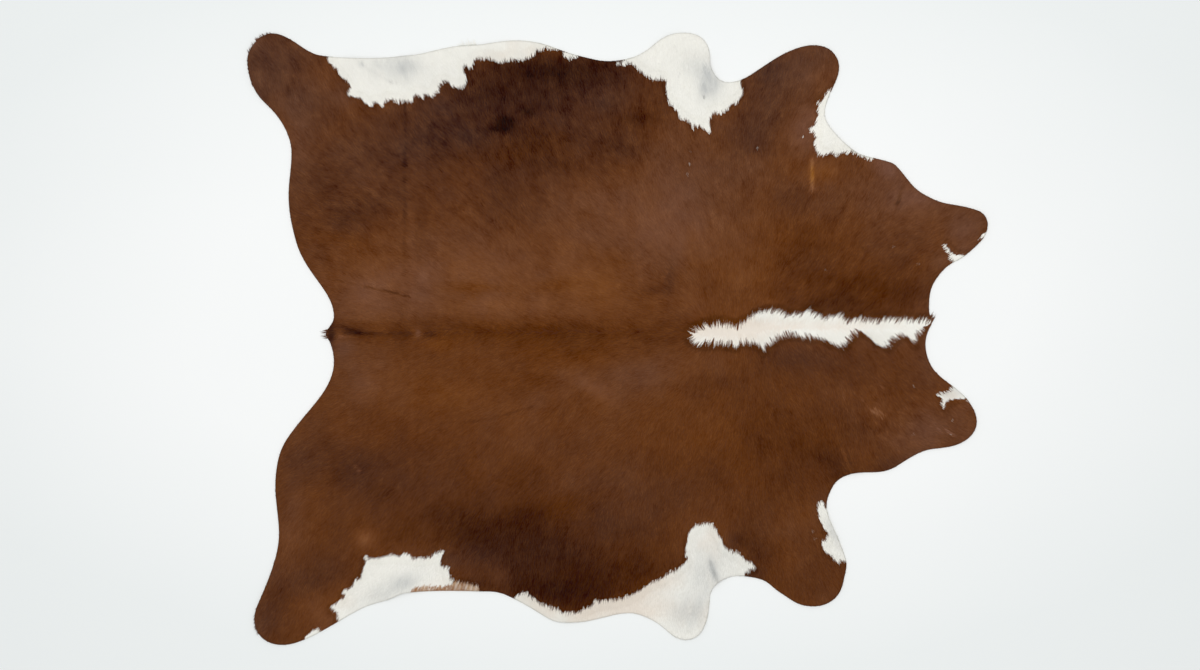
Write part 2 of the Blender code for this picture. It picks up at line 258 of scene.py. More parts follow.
SHADES = charted(
    Oval,
    # left belly and side
    (-290, 770, 360, 140, -0.29, -0.4), (-250, 610, 250, 80, -0.12),
    (-180, 838, 220, 55, -0.28, 0, -4), (-30, 868, 90, 26, -0.09, 0, -4),
    # the second oval below spans the whole left side: painted sheen, greying it as glare off the hair
    # does
    (-45, 728, 50, 40, 0, -0.7), (-250, 500, 1000, 300, -0.02, -0.35), (-30, 760, 120, 70, 0, -0.7),
    (-480, 700, 120, 90, 0, -0.5), (-565, 725, 60, 36, 0, -0.8), (-462, 628, 60, 40, 0, -0.6),
    (-182, 675, 60, 40, 0, -0.6), (-540, 510, 500, 170, -0.05), (-350, 668, 36, 26, -0.5),
    (-388, 652, 26, 8, -0.22), (-278, 706, 26, 12, -0.24, 0, -10), (-170, 540, 140, 40, -0.12, 0.3),
    (-459, 631, 60, 40, -0.07, -0.4), (-36, 728, 60, 40, -0.07),
    (-290, 592, 120, 45, -0.01, 1.2, 15),
    # left elbow, flank and hip
    (60, 680, 70, 36, -0.14, 0.7), (20, 590, 70, 40, -0.1), (-600, 640, 100, 90, -0.08, -0.7),
    (-900, 460, 90, 110, -0.04, -0.1), (-800, 560, 240, 170, 0, -0.6),
    (-800, 388, 120, 55, -0.13, 0, 20),
    # left rump, loin and back
    (-860, 305, 120, 28, -0.02, 0.7, -8), (-730, 195, 170, 75, 0.13, -0.2),
    (-925, 177, 40, 40, 0.07), (-790, 105, 120, 85, 0.16, -0.5), (-603, 185, 120, 130, 0.06, -0.5),
    (-540, 310, 150, 80, 0.08, -0.1), (-574, 245, 50, 40, 0.06), (-400, 195, 260, 90, 0.2, 0.1),
    (-400, 100, 300, 44, 0.17, 0.1), (-440, 160, 110, 18, -0.06, 0.7),
    (-190, 165, 90, 26, -0.1, 0.7, 8),
    # left ribs
    (-180, 430, 170, 90, 0, -0.3), (-100, 618, 90, 60, -0.07), (-380, 470, 60, 110, -0.06),
    (-170, 270, 40, 90, 0.06, 0.3), (-20, 250, 70, 50, 0, 0.5), (-50, 155, 150, 85, 0.16, 0.55),
    # left shoulder and withers
    (110, 350, 320, 160, 0.18, -0.2), (325, 451, 60, 40, 0.05), (195, 143, 50, 30, 0.05),
    (-98, 74, 60, 26, 0.06), (140, 585, 70, 150, 0.06), (230, 520, 190, 140, 0.02, -0.6),
    (250, 120, 150, 40, 0.12, 0.3), (300, 82, 130, 26, 0.07), (165, 195, 22, 80, -0.1, -0.4, -8),
    (120, 148, 60, 22, -0.1, -0.2),
    # left neck
    (380, 200, 130, 70, 0.1, 0.55), (459, 118, 60, 24, 0.07, 0.3),
    (590, 310, 190, 80, -0.03, 0.8, -5), (750, 165, 250, 75, -0.15, 1.1), (817, 125, 60, 36, 0.07),
    (650, 430, 320, 100, 0.05, -0.3, -15), (749, 295, 60, 50, -0.07), (808, 146, 50, 40, 0, 0.5),
    (495, 230, 145, 60, -0.03), (680, 105, 220, 42, -0.12, -0.1), (520, 440, 110, 60, -0.05),
    (640, 520, 50, 42, 0.18, 0.7), (606, 512, 11, 52, 0.14, 1.2, 4), (480, 552, 130, 18, 0.04, 0.1),
    # left cheek and crest
    (850, 440, 120, 70, 0.12, -0.5, -20), (900, 300, 120, 80, 0.02, -0.3),
    (1000, 240, 50, 50, 0, -0.5), (970, -50, 50, 100, 0, -0.9), (1085, 350, 85, 70, 0.08, -1.1),
    (1078, 264, 40, 30, 0, -0.9), (970, 130, 50, 80, 0, -0.7), (935, 410, 60, 90, 0.1),
    (980, 430, 110, 40, 0.14, -0.6, -15), (840, 540, 90, 40, 0.24, -0.8, -35),
    # left fore shank
    (420, 640, 100, 80, -0.04, -0.7, 60), (550, 640, 60, 60, 0.09, -0.3),
    (500, 760, 110, 100, -0.01, -1.1, 30), (470, 840, 70, 60, -0.15, -0.8, 30),
    (610, 880, 110, 70, -0.06, -0.6), (560, 850, 80, 70, 0.03, -0.7),
    (664, 790, 40, 60, 0.06, -0.6), (652, 902, 50, 40, 0, -0.6), (605, 665, 60, 95, 0.16, -0.6),
    # left hind shank
    (-1100, 860, 150, 150, -0.07, -1.6), (-1125, 925, 60, 40, 0.12, -0.3, -40),
    (-1140, 805, 50, 70, 0.04, -1.6), (-1000, 900, 80, 30, 0.07, -0.3, -15),
    (-975, 735, 120, 95, -0.01, -0.8, -50), (-850, 755, 80, 50, 0, -0.6, 20),
    (-1025, 775, 18, 36, -0.1, 0.3, -20), (-1000, 570, 60, 220, 0.04, -0.6),
    # backbone and tail
    (-330, 20, 560, 34, -0.13, 1.5), (-830, 25, 60, 30, -0.12, -0.2),
    (-210, -40, 230, 50, -0.03, 1.1), (-621, 18, 15, 20, 0.3, -1.6), (-565, -20, 60, 26, 0.12, 0.8),
    (-893, 12, 16, 42, -0.35, -0.5),
    # right rump, loin, back and withers
    (-850, -24, 50, 40, 0.04, -0.8), (-800, -120, 120, 100, 0.09, -0.3), (-954, -215, 40, 40, 0.06),
    (-889, -331, 50, 30, -0.05), (-530, -150, 180, 120, 0.05, 0.6),
    (-290, -125, 100, 40, -0.06, 0.7), (-230, -240, 330, 80, 0.03, 0.15),
    (-70, -160, 110, 35, 0.18, 0, -30), (-80, -215, 70, 40, 0, 0.3),
    (80, -110, 120, 80, 0.07, -0.8), (-114, -70, 70, 30, 0.07, 0.2), (-154, -287, 60, 40, 0.05),
    (240, -75, 180, 50, 0.08),
    # right hip
    (-800, -420, 190, 110, -0.14, -0.35), (-950, -500, 60, 110, 0.03, 0.3),
    (-1000, -365, 90, 110, -0.07, -0.6), (-1015, -580, 50, 230, 0.07, -0.5),
    (-1080, -715, 50, 60, 0.04, -0.8), (-1122, -909, 40, 60, 0.05, -0.7),
    (-490, -530, 460, 170, -0.06), (-555, -515, 85, 85, -0.05), (-390, -700, 110, 60, 0, -0.6),
    (-363, -748, 40, 30, 0.09, -0.7), (-660, -590, 60, 40, -0.06, 0.7),
    (-787, -622, 36, 32, 0.34, 0.2),
    # right belly
    (-260, -650, 300, 120, -0.26, 0, -6), (-60, -765, 240, 90, -0.28, 1.3, 8),
    (95, -760, 50, 30, 0.08, 0.2), (-142, -732, 50, 40, 0, 0.6), (-440, -768, 90, 34, -0.14),
    (-520, -695, 40, 36, 0, -1.1), (-460, -667, 50, 40, 0, -0.7),
    (-200, -790, 200, 60, -0.16, 0.2, -10), (-270, -550, 240, 46, -0.08, 1.3, 12),
    (20, -590, 130, 60, -0.1, -0.2),
    # right ribs and elbow
    (-290, -440, 120, 70, -0.04, 0.3), (-135, -452, 70, 50, 0, -0.5),
    (60, -480, 220, 120, -0.01, -0.5), (-70, -500, 120, 80, -0.07), (130, -660, 90, 50, -0.02, 0.4),
    # right shoulder and neck
    (290, -320, 280, 170, 0.01, 0.6), (154, -334, 50, 40, 0.07), (560, -300, 170, 110, -0.07, 0.6),
    (655, -372, 75, 42, -0.12, 0.1, -30), (560, -430, 190, 100, -0.1), (750, -430, 110, 50, -0.08),
    (755, -275, 60, 40, -0.08), (750, -220, 260, 210, 0, -0.3), (870, -270, 60, 40, -0.08),
    (839, -400, 60, 40, -0.08, -0.2, 15), (600, -60, 170, 55, -0.12, -0.7),
    (800, -240, 140, 90, 0.06, -0.1), (692, -228, 50, 40, -0.07), (948, -203, 40, 40, 0.07),
    # right cheek
    (990, -290, 120, 80, 0.12, -0.9), (1094, -300, 36, 50, 0.08), (1080, -200, 40, 40, 0.1, -0.2),
    (904, -380, 90, 40, 0, -0.8, 20),
    # right fore shank
    (643, -517, 50, 50, 0, -0.8), (372, -632, 45, 36, -0.1, 0.2), (420, -620, 90, 150, -0.1),
    (350, -640, 34, 50, 0, -1), (431, -735, 36, 30, 0, -0.8), (520, -590, 110, 60, 0.08, -0.3),
    (600, -740, 90, 80, -0.03, -0.2), (540, -700, 70, 60, 0.06),
    # right hind shank
    (-940, -740, 150, 70, -0.1, -0.7, 30), (-1090, -870, 60, 80, -0.06, -0.6),
    (-940, -840, 90, 50, 0.1, 0.2, -20),
    # creamier and cooler places of the white
    (-390, 880, 220, 34, 0, 0.35), (620, 35, 420, 26, 0, 0.6), (580, 6, 90, 20, 0, -0.8),
    (340, 36, 130, 50, 0, 1.3), (820, 0, 90, 34, 0, -0.8), (60, -850, 360, 60, 0, 0.6),
    (290, -630, 70, 60, 0, 0.6), (1035, -178, 40, 24, 0, 1), (-615, -680, 130, 30, 0.05, -0.6),
    # small marks on the left elbow's white
    (266, 754, 5, 4, -2.6), (259, 741, 5, 3, -0.7), (222, 844, 4, 4, -0.5),
    (190, 818, 6, 3, -0.7, 0, 60), (196, 829, 6, 2, -0.7, 0, 20),
)

# Places rubbed and scratched, so that pale hairs show all ways among mottled ones.
SCUFFED = charted(
    Oval,
    # right side of the neck, right fore foot, left side of the neck, right ribs
    (850, -235, 230, 130, 1, 0, -20), (560, -680, 110, 90, 0.4), (800, 380, 200, 130, 0.6, 0, -25),
    (80, -480, 160, 90, 0.3),
)

# Thin hair on the white, where the blue-grey skin shows through.
THIN_PLACES = charted(
    Oval,
    # left flank
    (-702, 846, 105, 46, 0.45, 0, -6), (-660, 846, 42, 38, 0.38), (-797, 854, 10, 6, 0.6, 0, -30),
    # left elbow
    (286, 800, 40, 54, 0.9), (250, 850, 60, 44, 0.35), (268, 772, 20, 26, 0.3),
    # right flank
    (-718, -786, 115, 36, 0.4, 0, 27), (-662, -758, 44, 28, 0.45, 0, 10),
    # right elbow
    (222, -855, 62, 58, 0.55), (270, -765, 50, 75, 0.35), (300, -680, 120, 110, 0.25),
    (299, -722, 46, 14, 0.8, 0, -72),
    # right cheek and fore shank
    (1045, -175, 50, 30, 0.4), (672, -609, 60, 14, 0.5, 0, -65),
)

# Places where a lock or two of white hair lies in the brown, and how white they are.
FLECKS = charted(
    Oval,
    # left fore shank and neck
    (575, 629, 5, 4, 0.65), (436, 593, 3, 4, 0.4), (647, 212, 3, 3, 0.35), (859, 288, 3, 3, 0.25),
    (935, 233, 3, 3, 0.25),
    # left shoulder
    (227, 584, 2, 3, 0.25), (224, 542, 3, 6, 0.35), (217, 511, 3, 5, 0.3),
    # right fore shank and neck
    (607, -600, 3, 4, 0.25), (614, -621, 3, 4, 0.3), (669, -690, 3, 3, 0.3),
    (922, -148, 3, 6, 0.35), (920, -297, 3, 3, 0.3),
    # right cheek
    (1042, -254, 4, 4, 0.4), (1037, -297, 3, 4, 0.3), (1001, -318, 3, 3, 0.2),
    (1088, -193, 4, 4, 0.4),
)

LINES = charted(
    Line,
    # the folds across the loin: painted shade along the fold, and painted light on one side of it
    (-661, 745, -662, 540, 4.5, -0.22), (-662, 540, -664, 200, 4.5, -0.11),
    (-642, 420, -640, -430, 9, 0.06),
    # the crease of the left hip: painted shade in it
    (-875, 181, -762, 158, 3.5, -0.34), (-762, 158, -652, 134, 3.5, -0.28),
    # tail and backbone
    (-884, 50, -815, 20, 8, -0.22), (-848, 17, -800, 19, 6, -0.2), (-865, 5, -828, 7, 3.5, 0.22),
    (-800, 18, -640, 14, 9, -0.12), (-603, 12, -575, 11, 9, -0.08),
    # creases of the right loin and of the neck: painted shade in them, and painted light beside the
    # right neck's crease
    (-495, -265, -380, -246, 3.5, -0.16), (-380, -246, -262, -212, 3.5, -0.14),
    (890, 476, 870, 420, 6, -0.3), (711, -352, 730, -400, 4, -0.26),
    (700, -345, 727, -415, 3.5, 0.16),
    # scratches
    (605, 558, 606, 463, 6, 0.34), (760, -190, 860, -260, 2, 0.3), (820, -150, 905, -180, 2, 0.26),
    (700, -160, 716, -230, 2, 0.26), (776, -214, 824, -248, 2.5, 0.4),
    (968, -240, 1010, -296, 2, 0.36), (1004, -268, 1052, -306, 2, 0.34),
    (-818, -398, -800, -414, 2.5, 0.3),
    # creases in the white: painted shade in them
    (-801, 858, -708, 799, 3, -0.5), (-708, 799, -664, 793, 3, -0.45),
    (-680, -732, -648, -734, 3, -0.35), (288, -693, 311, -758, 5, -1.3),
)

# Places on the cut edge where the hair stands past it, and the longest that it does, as a share.
TUFTS = charted(
    Oval,
    # left hock, hind foot and flank
    (-1148, 835, 36, 90, 0.75), (-1110, 925, 45, 35, 0.85), (-464, 908, 28, 16, 1.6, 0, 5),
    # right hind foot, tail and crest
    (-1130, -880, 24, 50, 0.8), (-903, 16, 12, 16, 1.2), (975, 58, 10, 12, 1.2),
)

# The line that the hair lies away from on both sides: the backbone and the middle of the stripe.
PARTING = (
    (-920, 18), (100, 24), (222, 15), (350, 15), (480, 33), (700, 34), (820, 31), (950, 40),
    (1000, 48),
)

LAYS = charted(
    Lay,
    # along the backbone, from the tail to the crest
    (-880, 15, 176), (-520, 60, 162), (-60, 70, 158), (190, 18, 176), (330, 45, 84), (560, 50, 62),
    (880, 45, 55),
    # along the side, from the rump to the cheek
    (-860, 330, 150), (-640, 430, 138), (-200, 380, 128), (260, 380, 108), (640, 300, 68),
    (1010, 330, 28),
    # along the belly, from the hind shank to the fore shank
    (-1090, 850, 118), (-700, 760, 112), (-280, 800, 102), (190, 840, 96), (610, 800, 78),
    (650, 620, 66),
)


# ---------------------------------------------------------------------------------------------
# Fields: what the charts say at any point of the hide
# ---------------------------------------------------------------------------------------------


@dataclass(frozen=True)
class Wave:
    """One share of a random field: blotches, or streaks where it has a length."""

    strength: float
    size: float  # the width of its blotches or streaks, in millimetres
    shift: float = 0.0  # how far off the field is read, so that no two shares match
    length: float = 0.0  # of its streaks
    floor: float | None = None  # where it has one, only what is above it counts
    peak: float = 1.5  # and at most this much of it


Waves = tuple[Wave, ...]


class Grain:
    """A smooth random field, the same each run."""

    side = 512  # how many values its net has along each side
    away = 1000.0  # how many of them it is read from its corner
    steps = np.linspace(-0.5, 0.5, 7)  # where a streak is read along its length
    level = 0.9  # brings the strength of streaks near that of blotches

    def __init__(self, draw: Draw) -> None:
        """Draw the field's values on a square net that repeats.

        Args:
            draw: Which field it is.
        """
        rng = np.random.default_rng(draw.value)
        self.net = rng.uniform(-1.0, 1.0, (self.side, self.side))

    def at(self, points: Array, cell: float) -> Array:
        """Read the field.

        Args:
            points: Places, in millimetres, one a row.
            cell: The size of the field's blotches, in millimetres.

        Returns:
            A value from -1 to 1 for each place.
        """
        scaled = points[:, :2] / cell + self.away
        low = np.floor(scaled).astype(int)
        share = scaled - low
        share = share * share * (3.0 - 2.0 * share)
        x, y = low[:, 0] % self.side, low[:, 1] % self.side
        x_1, y_1 = (x + 1) % self.side, (y + 1) % self.side
        near = self.net[x, y] * (1 - share[:, 0]) + self.net[x_1, y] * share[:, 0]
        far = self.net[x, y_1] * (1 - share[:, 0]) + self.net[x_1, y_1] * share[:, 0]
        return near * (1 - share[:, 1]) + far * share[:, 1]

    def streaks(self, points: Array, way: Array, wave: Wave) -> Array:
        """Read the field drawn out into streaks.

        Args:
            points: Places, in millimetres, one a row.
            way: The unit vector that the streaks run along, for each place or for all.
            wave: Their width and length.

        Returns:
            A value for each place, mostly from -1 to 1.
        """
        total = sum(self.at(points + way * (wave.length * step), wave.size) for step in self.steps)
        return total / math.sqrt(len(self.steps)) * self.level

    def total(self, points: Array, waves: Waves, way: Array | None = None) -> Array:
        """Add up waves.

        Args:
            points: Places, in millimetres, one a row.
            waves: The waves.
            way: The unit vector that their streaks run along, for each place or for all.

        Returns:
            A value for each place.
        """
        total = np.zeros(len(points))
        for wave in waves:
            places = points[:, :2] + wave.shift
            value = self.streaks(places, way, wave) if wave.length else self.at(places, wave.size)
            if wave.floor is not None:
                value = np.clip(value - wave.floor, 0.0, wave.peak)
            total += wave.strength * value
        return total


def unit(heading: float) -> Array:
    """Give the unit vector of a heading in degrees."""
    return np.array((math.cos(math.radians(heading)), math.sin(math.radians(heading))))


def smooth_loop(border: Chart, pieces: int = 4) -> Array:
    """Round a charted border off into a closed curve through its points.

    Args:
        border: The charted points.
        pieces: How many short straight pieces run between two of them.

    Returns:
        The curve's points, one a row.
    """
    knots = np.array(border, float)
    before, after, beyond = (np.roll(knots, shift, 0) for shift in (1, -1, -2))
    curve = []
    for share in np.arange(pieces) / pieces:
        curve.append(0.5 * (
            2 * knots
            + (after - before) * share
            + (2 * before - 5 * knots + 4 * after - beyond) * share**2
            + (3 * knots - before - 3 * after + beyond) * share**3
        ))
    return np.stack(curve, 1).reshape(-1, 2)


def depth_in(points: Array, loop: Array, far: float = 60.0) -> Array:
    """Tell how deep places lie in a closed curve.

    Args:
        points: Places, one a row.
        loop: The curve's points, one a row.
        far: Past this distance outside it, the depth is no longer worked out.

    Returns:
        The distance to the curve for each place: positive inside, negative outside.
    """
    tiny = 1e-9
    depth = np.full(len(points), -far)
    low, high = loop.min(0) - far, loop.max(0) + far
    close = np.flatnonzero(((points[:, :2] > low) & (points[:, :2] < high)).all(1))
    here = points[close, :2]
    nearest = np.full(len(here), np.inf)
    within = np.zeros(len(here), bool)
    for start, end in zip(loop, np.roll(loop, -1, 0)):
        run = end - start
        share = np.clip((here - start) @ run / max(run @ run, tiny), 0.0, 1.0)
        gap = here - start - share[:, None] * run
        nearest = np.minimum(nearest, (gap * gap).sum(1))
        spans = (start[1] > here[:, 1]) != (end[1] > here[:, 1])
        rise = run[1] if abs(run[1]) > tiny else tiny
        within ^= spans & (here[:, 0] < start[0] + (here[:, 1] - start[1]) * run[0] / rise)
    depth[close] = np.where(within, 1.0, -1.0) * np.sqrt(nearest)
    return np.maximum(depth, -far)


def even_points(half: Array, pitch: float) -> Array:
    """Lay points in rows, each row half a pitch on from the last, over a box around the origin.

    Args:
        half: Half the box's size.
        pitch: The distance from each point to the next.

    Returns:
        The points, one a row.
    """
    rise = pitch * math.sqrt(0.75)
    wide, tall = math.ceil(half[0] / pitch) + 1, math.ceil(half[1] / rise)
    columns, rows = np.meshgrid(np.arange(-wide, wide + 1), np.arange(-tall, tall + 1))
    return np.stack([(columns + rows % 2 * 0.5) * pitch, rows * rise], -1).reshape(-1, 2)


def oval_share(points: Array, oval: Oval) -> Array:
    """Tell how far out places lie in an oval.

    Args:
        points: Places, in millimetres, one a row.
        oval: The charted oval.

    Returns:
        For each place, 0 in the oval's middle and 1 on its rim, squared.
    """
    cos, sin = unit(oval.heading)
    x, y = points[:, 0] - oval.x, points[:, 1] - oval.y
    along = (x * cos + y * sin) / oval.half_length
    across = (y * cos - x * sin) / oval.half_width
    return along**2 + across**2


def spread(points: Array, ovals: Ovals, look: str = "shade", fading: float = 1.4) -> Array:
    """Add up what soft ovals do to one look of the hair.

    Args:
        points: Places, in millimetres, one a row.
        ovals: The charted ovals.
        look: Which of their values it is.
        fading: How soon it fades away from their middles.

    Returns:
        The sum for each place.
    """
    level = np.zeros(len(points))
    for oval in ovals:
        level += getattr(oval, look) * np.exp(-fading * oval_share(points, oval))
    return level


@dataclass
class Places:
    """Places on the hide seen from above, in millimetres, and the way that the hair lies at each."""

    points: Array
    lie: Array


@dataclass
class HairLay:
    """The way that the hair lies, all over the hide."""

    blend: float = 90.0  # how softly one charted lay gives way to the next
    fall: float = 1.7  # how fast a charted lay's say falls with the distance, squared
    strays: Waves = (Wave(13.0, 110.0), Wave(9.0, 17.0, 77))  # in degrees
    crossing: Waves = (Wave(9.0, 7.0, 13),)  # how clumps lie over the parting

    def at(self, points: Array) -> Array:
        """Work out the lay.

        Args:
            points: Places, in millimetres, one a row.

        Returns:
            A unit vector for each place.
        """
        grain = Grain(Draw.LAY)
        off = points[:, 1] - np.interp(points[:, 0], *np.array(PARTING, float).T)
        side = np.where(off + grain.total(points, self.crossing) < 0.0, -1.0, 1.0)
        left = np.stack([points[:, 0], off * side], 1)
        total = np.zeros((len(points), 2))
        for lay in LAYS:
            gap = left - (lay.x, lay.y)
            weight = 1.0 / ((gap * gap).sum(1) + self.blend**2) ** self.fall
            total += weight[:, None] * unit(lay.heading)
        heading = side * np.arctan2(total[:, 1], total[:, 0])
        heading += np.radians(grain.total(points, self.strays))
        return np.stack([np.cos(heading), np.sin(heading)], 1)


@dataclass
class Colouring:
    """What colour the hair is at any place: the markings, the shades of brown and the thin places."""

    flecks: Ovals = ()
    fleck_room: float = 3.0  # that the middle of a fleck keeps from counting as a border
    fleck_around: float = 9.0  # how far around a fleck the hair is short, as a squared share
    fleck_length: float = 0.45
    longer_from: float = -4.0  # the depth in a marking from which its hair has its own length
    teeth: Waves = (Wave(0.5, 8.0, 0, 26.0), Wave(1.0, 3.3, 31, 20.0))
    teeth_back: float = 0.35  # keeps them even on both sides of the charted border
    tan_strands: Waves = (Wave(0.35, 4.0, 0, 26.0),)
    tan_share: float = 0.88
    tan_least: float = 0.55
    plain: float = 0.49  # the brown's shade where nothing is charted
    darkest: float = -2.0  # the least that spots bring it down to
    clouds: Waves = (Wave(0.05, 150.0), Wave(0.03, 62.0, 55))
    waver: Waves = (Wave(3.0, 22.0, 9),)  # how a line strays, in millimetres
    broken: Waves = (Wave(0.5, 34.0, 91),)  # how its strength comes and goes
    line_share: float = 0.75
    line_fading: float = 1.2
    mottles: Waves = (
        Wave(0.30, 55.0, 55), Wave(0.52, 25.0, 5), Wave(0.42, 12.0, 3),
        Wave(0.40, 13.0, 0, 45.0), Wave(-1.5, 9.0, 17, floor=0.55),
    )
    upright: Waves = (Wave(0.6, 4.0, 71, 34.0, 0.6),)  # pale hairs across the hide
    liveliness: Pair = (1.05, 0.3)  # of the mottle, and how much more the left's
    side_change: float = 250.0  # how far from the backbone that is so
    scuffs: Waves = (Wave(1.2, 17.0, 33), Wave(0.9, 7.0, 61))
    scuff_back: float = 0.1
    scratches: Wave = Wave(4.5, 3.2, 0, 26.0, 0.72)
    scratch_headings: tuple[float, ...] = (-40.0, 62.0, 8.0)
    redness: Waves = (Wave(0.2, 230.0), Wave(0.22, 70.0, 41), Wave(0.15, 31.0, 19))
    redness_back: float = 0.06
    reddest: float = 1.6
    thin_fading: float = 1.3
    thin_streaks: Waves = (Wave(0.2, 9.0, 0, 30.0),)

    def deepest(self, points: Array) -> Array:
        """Tell how deep places lie in the markings of any hue or the flecks, as they are charted.

        Args:
            points: Places, in millimetres, one a row.

        Returns:
            The depth in the deepest of them, negative outside them all.
        """
        depths = [depth_in(points, smooth_loop(m.border)) for m in MARKINGS]
        for fleck in self.flecks:
            share = np.sqrt(oval_share(points, fleck))
            depths.append(fleck.half_width * (1.0 - share) - self.fleck_room)
        return np.max(depths, 0)

    def depth(self, places: Places, hue: Hue) -> Array:
        """Tell how deep places lie in the markings of one hue, teeth and all.

        Args:
            places: Where.
            hue: Which markings.

        Returns:
            The depth in the deepest of them, in millimetres, negative outside them all.
        """
        teeth = Grain(Draw.BORDERS).total(places.points, self.teeth, places.lie) - self.teeth_back
        chosen = [m for m in MARKINGS if m.hue is hue]
        depths = [depth_in(places.points, smooth_loop(m.border)) + m.teeth * teeth for m in chosen]
        return np.max(depths, 0)

    def tan(self, places: Places) -> Array:
        """Tell how tan the hair is: strands of it stand among paler ones.

        Args:
            places: Where.

        Returns:
            A share from 0 to 1 for each place.
        """
        strands = Grain(Draw.TAN).total(places.points, self.tan_strands, places.lie)
        share = np.clip(self.tan_share + strands, self.tan_least, 1.0)
        return (self.depth(places, Hue.TAN) > 0.0) * share

    def fleck(self, points: Array) -> Array:
        """Tell how white the brown's lone white locks are.

        Args:
            points: Places, in millimetres, one a row.

        Returns:
            A share from 0 to 1 for each place.
        """
        share = np.zeros(len(points))
        for fleck in self.flecks:
            share = np.maximum(share, fleck.shade * (oval_share(points, fleck) < 1.0))
        return share

    def shade(self, points: Array) -> Array:
        """Tell how light the brown is, with its blotches, scratches, and the painted shade and light of
        its folds and creases.

        Args:
            points: Places, in millimetres, one a row.

        Returns:
            A value for each place, mostly from 0 to 1.
        """
        grain = Grain(Draw.SHADE)
        level = self.plain + spread(points, SHADES) + grain.total(points, self.clouds)
        waver = grain.total(points, self.waver)
        strength = self.line_share + grain.total(points, self.broken)
        for line in LINES:
            start, end = np.array((line.x_0, line.y_0)), np.array((line.x_1, line.y_1))
            run = end - start
            share = np.clip((points - start) @ run / (run @ run), 0.0, 1.0)
            gap = np.linalg.norm(points - start - share[:, None] * run, axis=1) + waver
            level += line.shade * strength * np.exp(-self.line_fading * (gap / line.half_width) ** 2)
        return np.clip(level, self.darkest, 1.0)

    def mottle(self, places: Places) -> Array:
        """Tell how much lighter or darker small blotches and streaks make each strand.

        Args:
            places: Where.

        Returns:
            A value for each place, about -1 to 1.
        """
        grain, points = Grain(Draw.MOTTLE), places.points
        level = grain.total(points, self.mottles, places.lie)
        level += grain.total(points, self.upright, unit(90.0))
        both, left = self.liveliness
        level *= both + left * np.tanh(points[:, 1] / self.side_change)
        scuffs = grain.total(points, self.scuffs) - self.scuff_back
        for heading in self.scratch_headings:
            scratches = replace(self.scratches, shift=5 * heading)
            scuffs += grain.total(points, (scratches,), unit(heading))
        return level + spread(points, SCUFFED) * scuffs

    def ginger(self, points: Array) -> Array:
        """Tell how ginger the brown is, or how grey below 0."""
        level = Grain(Draw.GINGER).total(points, self.redness) - self.redness_back
        return np.clip(level + spread(points, SHADES, "ginger"), -self.reddest, self.reddest)

    def longer(self, points: Array) -> Array:
        """Tell how long the hair is.

        Args:
            points: Places, in millimetres, one a row.

        Returns:
            A share of the usual length for each place.
        """
        share = np.ones(len(points))
        for marking in MARKINGS:
            if marking.longer != 1.0:
                depth = depth_in(points, smooth_loop(marking.border))
                share = np.where(depth > self.longer_from, marking.longer, share)
        for fleck in self.flecks:
            near = oval_share(points, fleck) < self.fleck_around
            share = np.where(near, self.fleck_length, share)
        return share

    def thin(self, places: Places) -> Array:
        """Tell how thin the hair is.

        Args:
            places: Where.

        Returns:
            A share from 0 to 1 for each place.
        """
        level = spread(places.points, THIN_PLACES, fading=self.thin_fading)
        level *= 1.0 + Grain(Draw.THIN).total(places.points, self.thin_streaks, places.lie)
        return np.clip(level, 0.0, 1.0)


# ---------------------------------------------------------------------------------------------
# Finishes
# ---------------------------------------------------------------------------------------------


def linear(red: int, green: int, blue: int) -> tuple[float, float, float, float]:
    """Turn a colour as a screen shows it into a shader's.

    Args:
        red: How red it is, from 0 to 255.
        green: How green.
        blue: How blue.

    Returns:
        The shader's colour.
    """
    parts = [value / 255 for value in (red, green, blue)]
    low = [p / 12.92 if p <= 0.04045 else ((p + 0.055) / 1.055) ** 2.4 for p in parts]
    return (*low, 1.0)


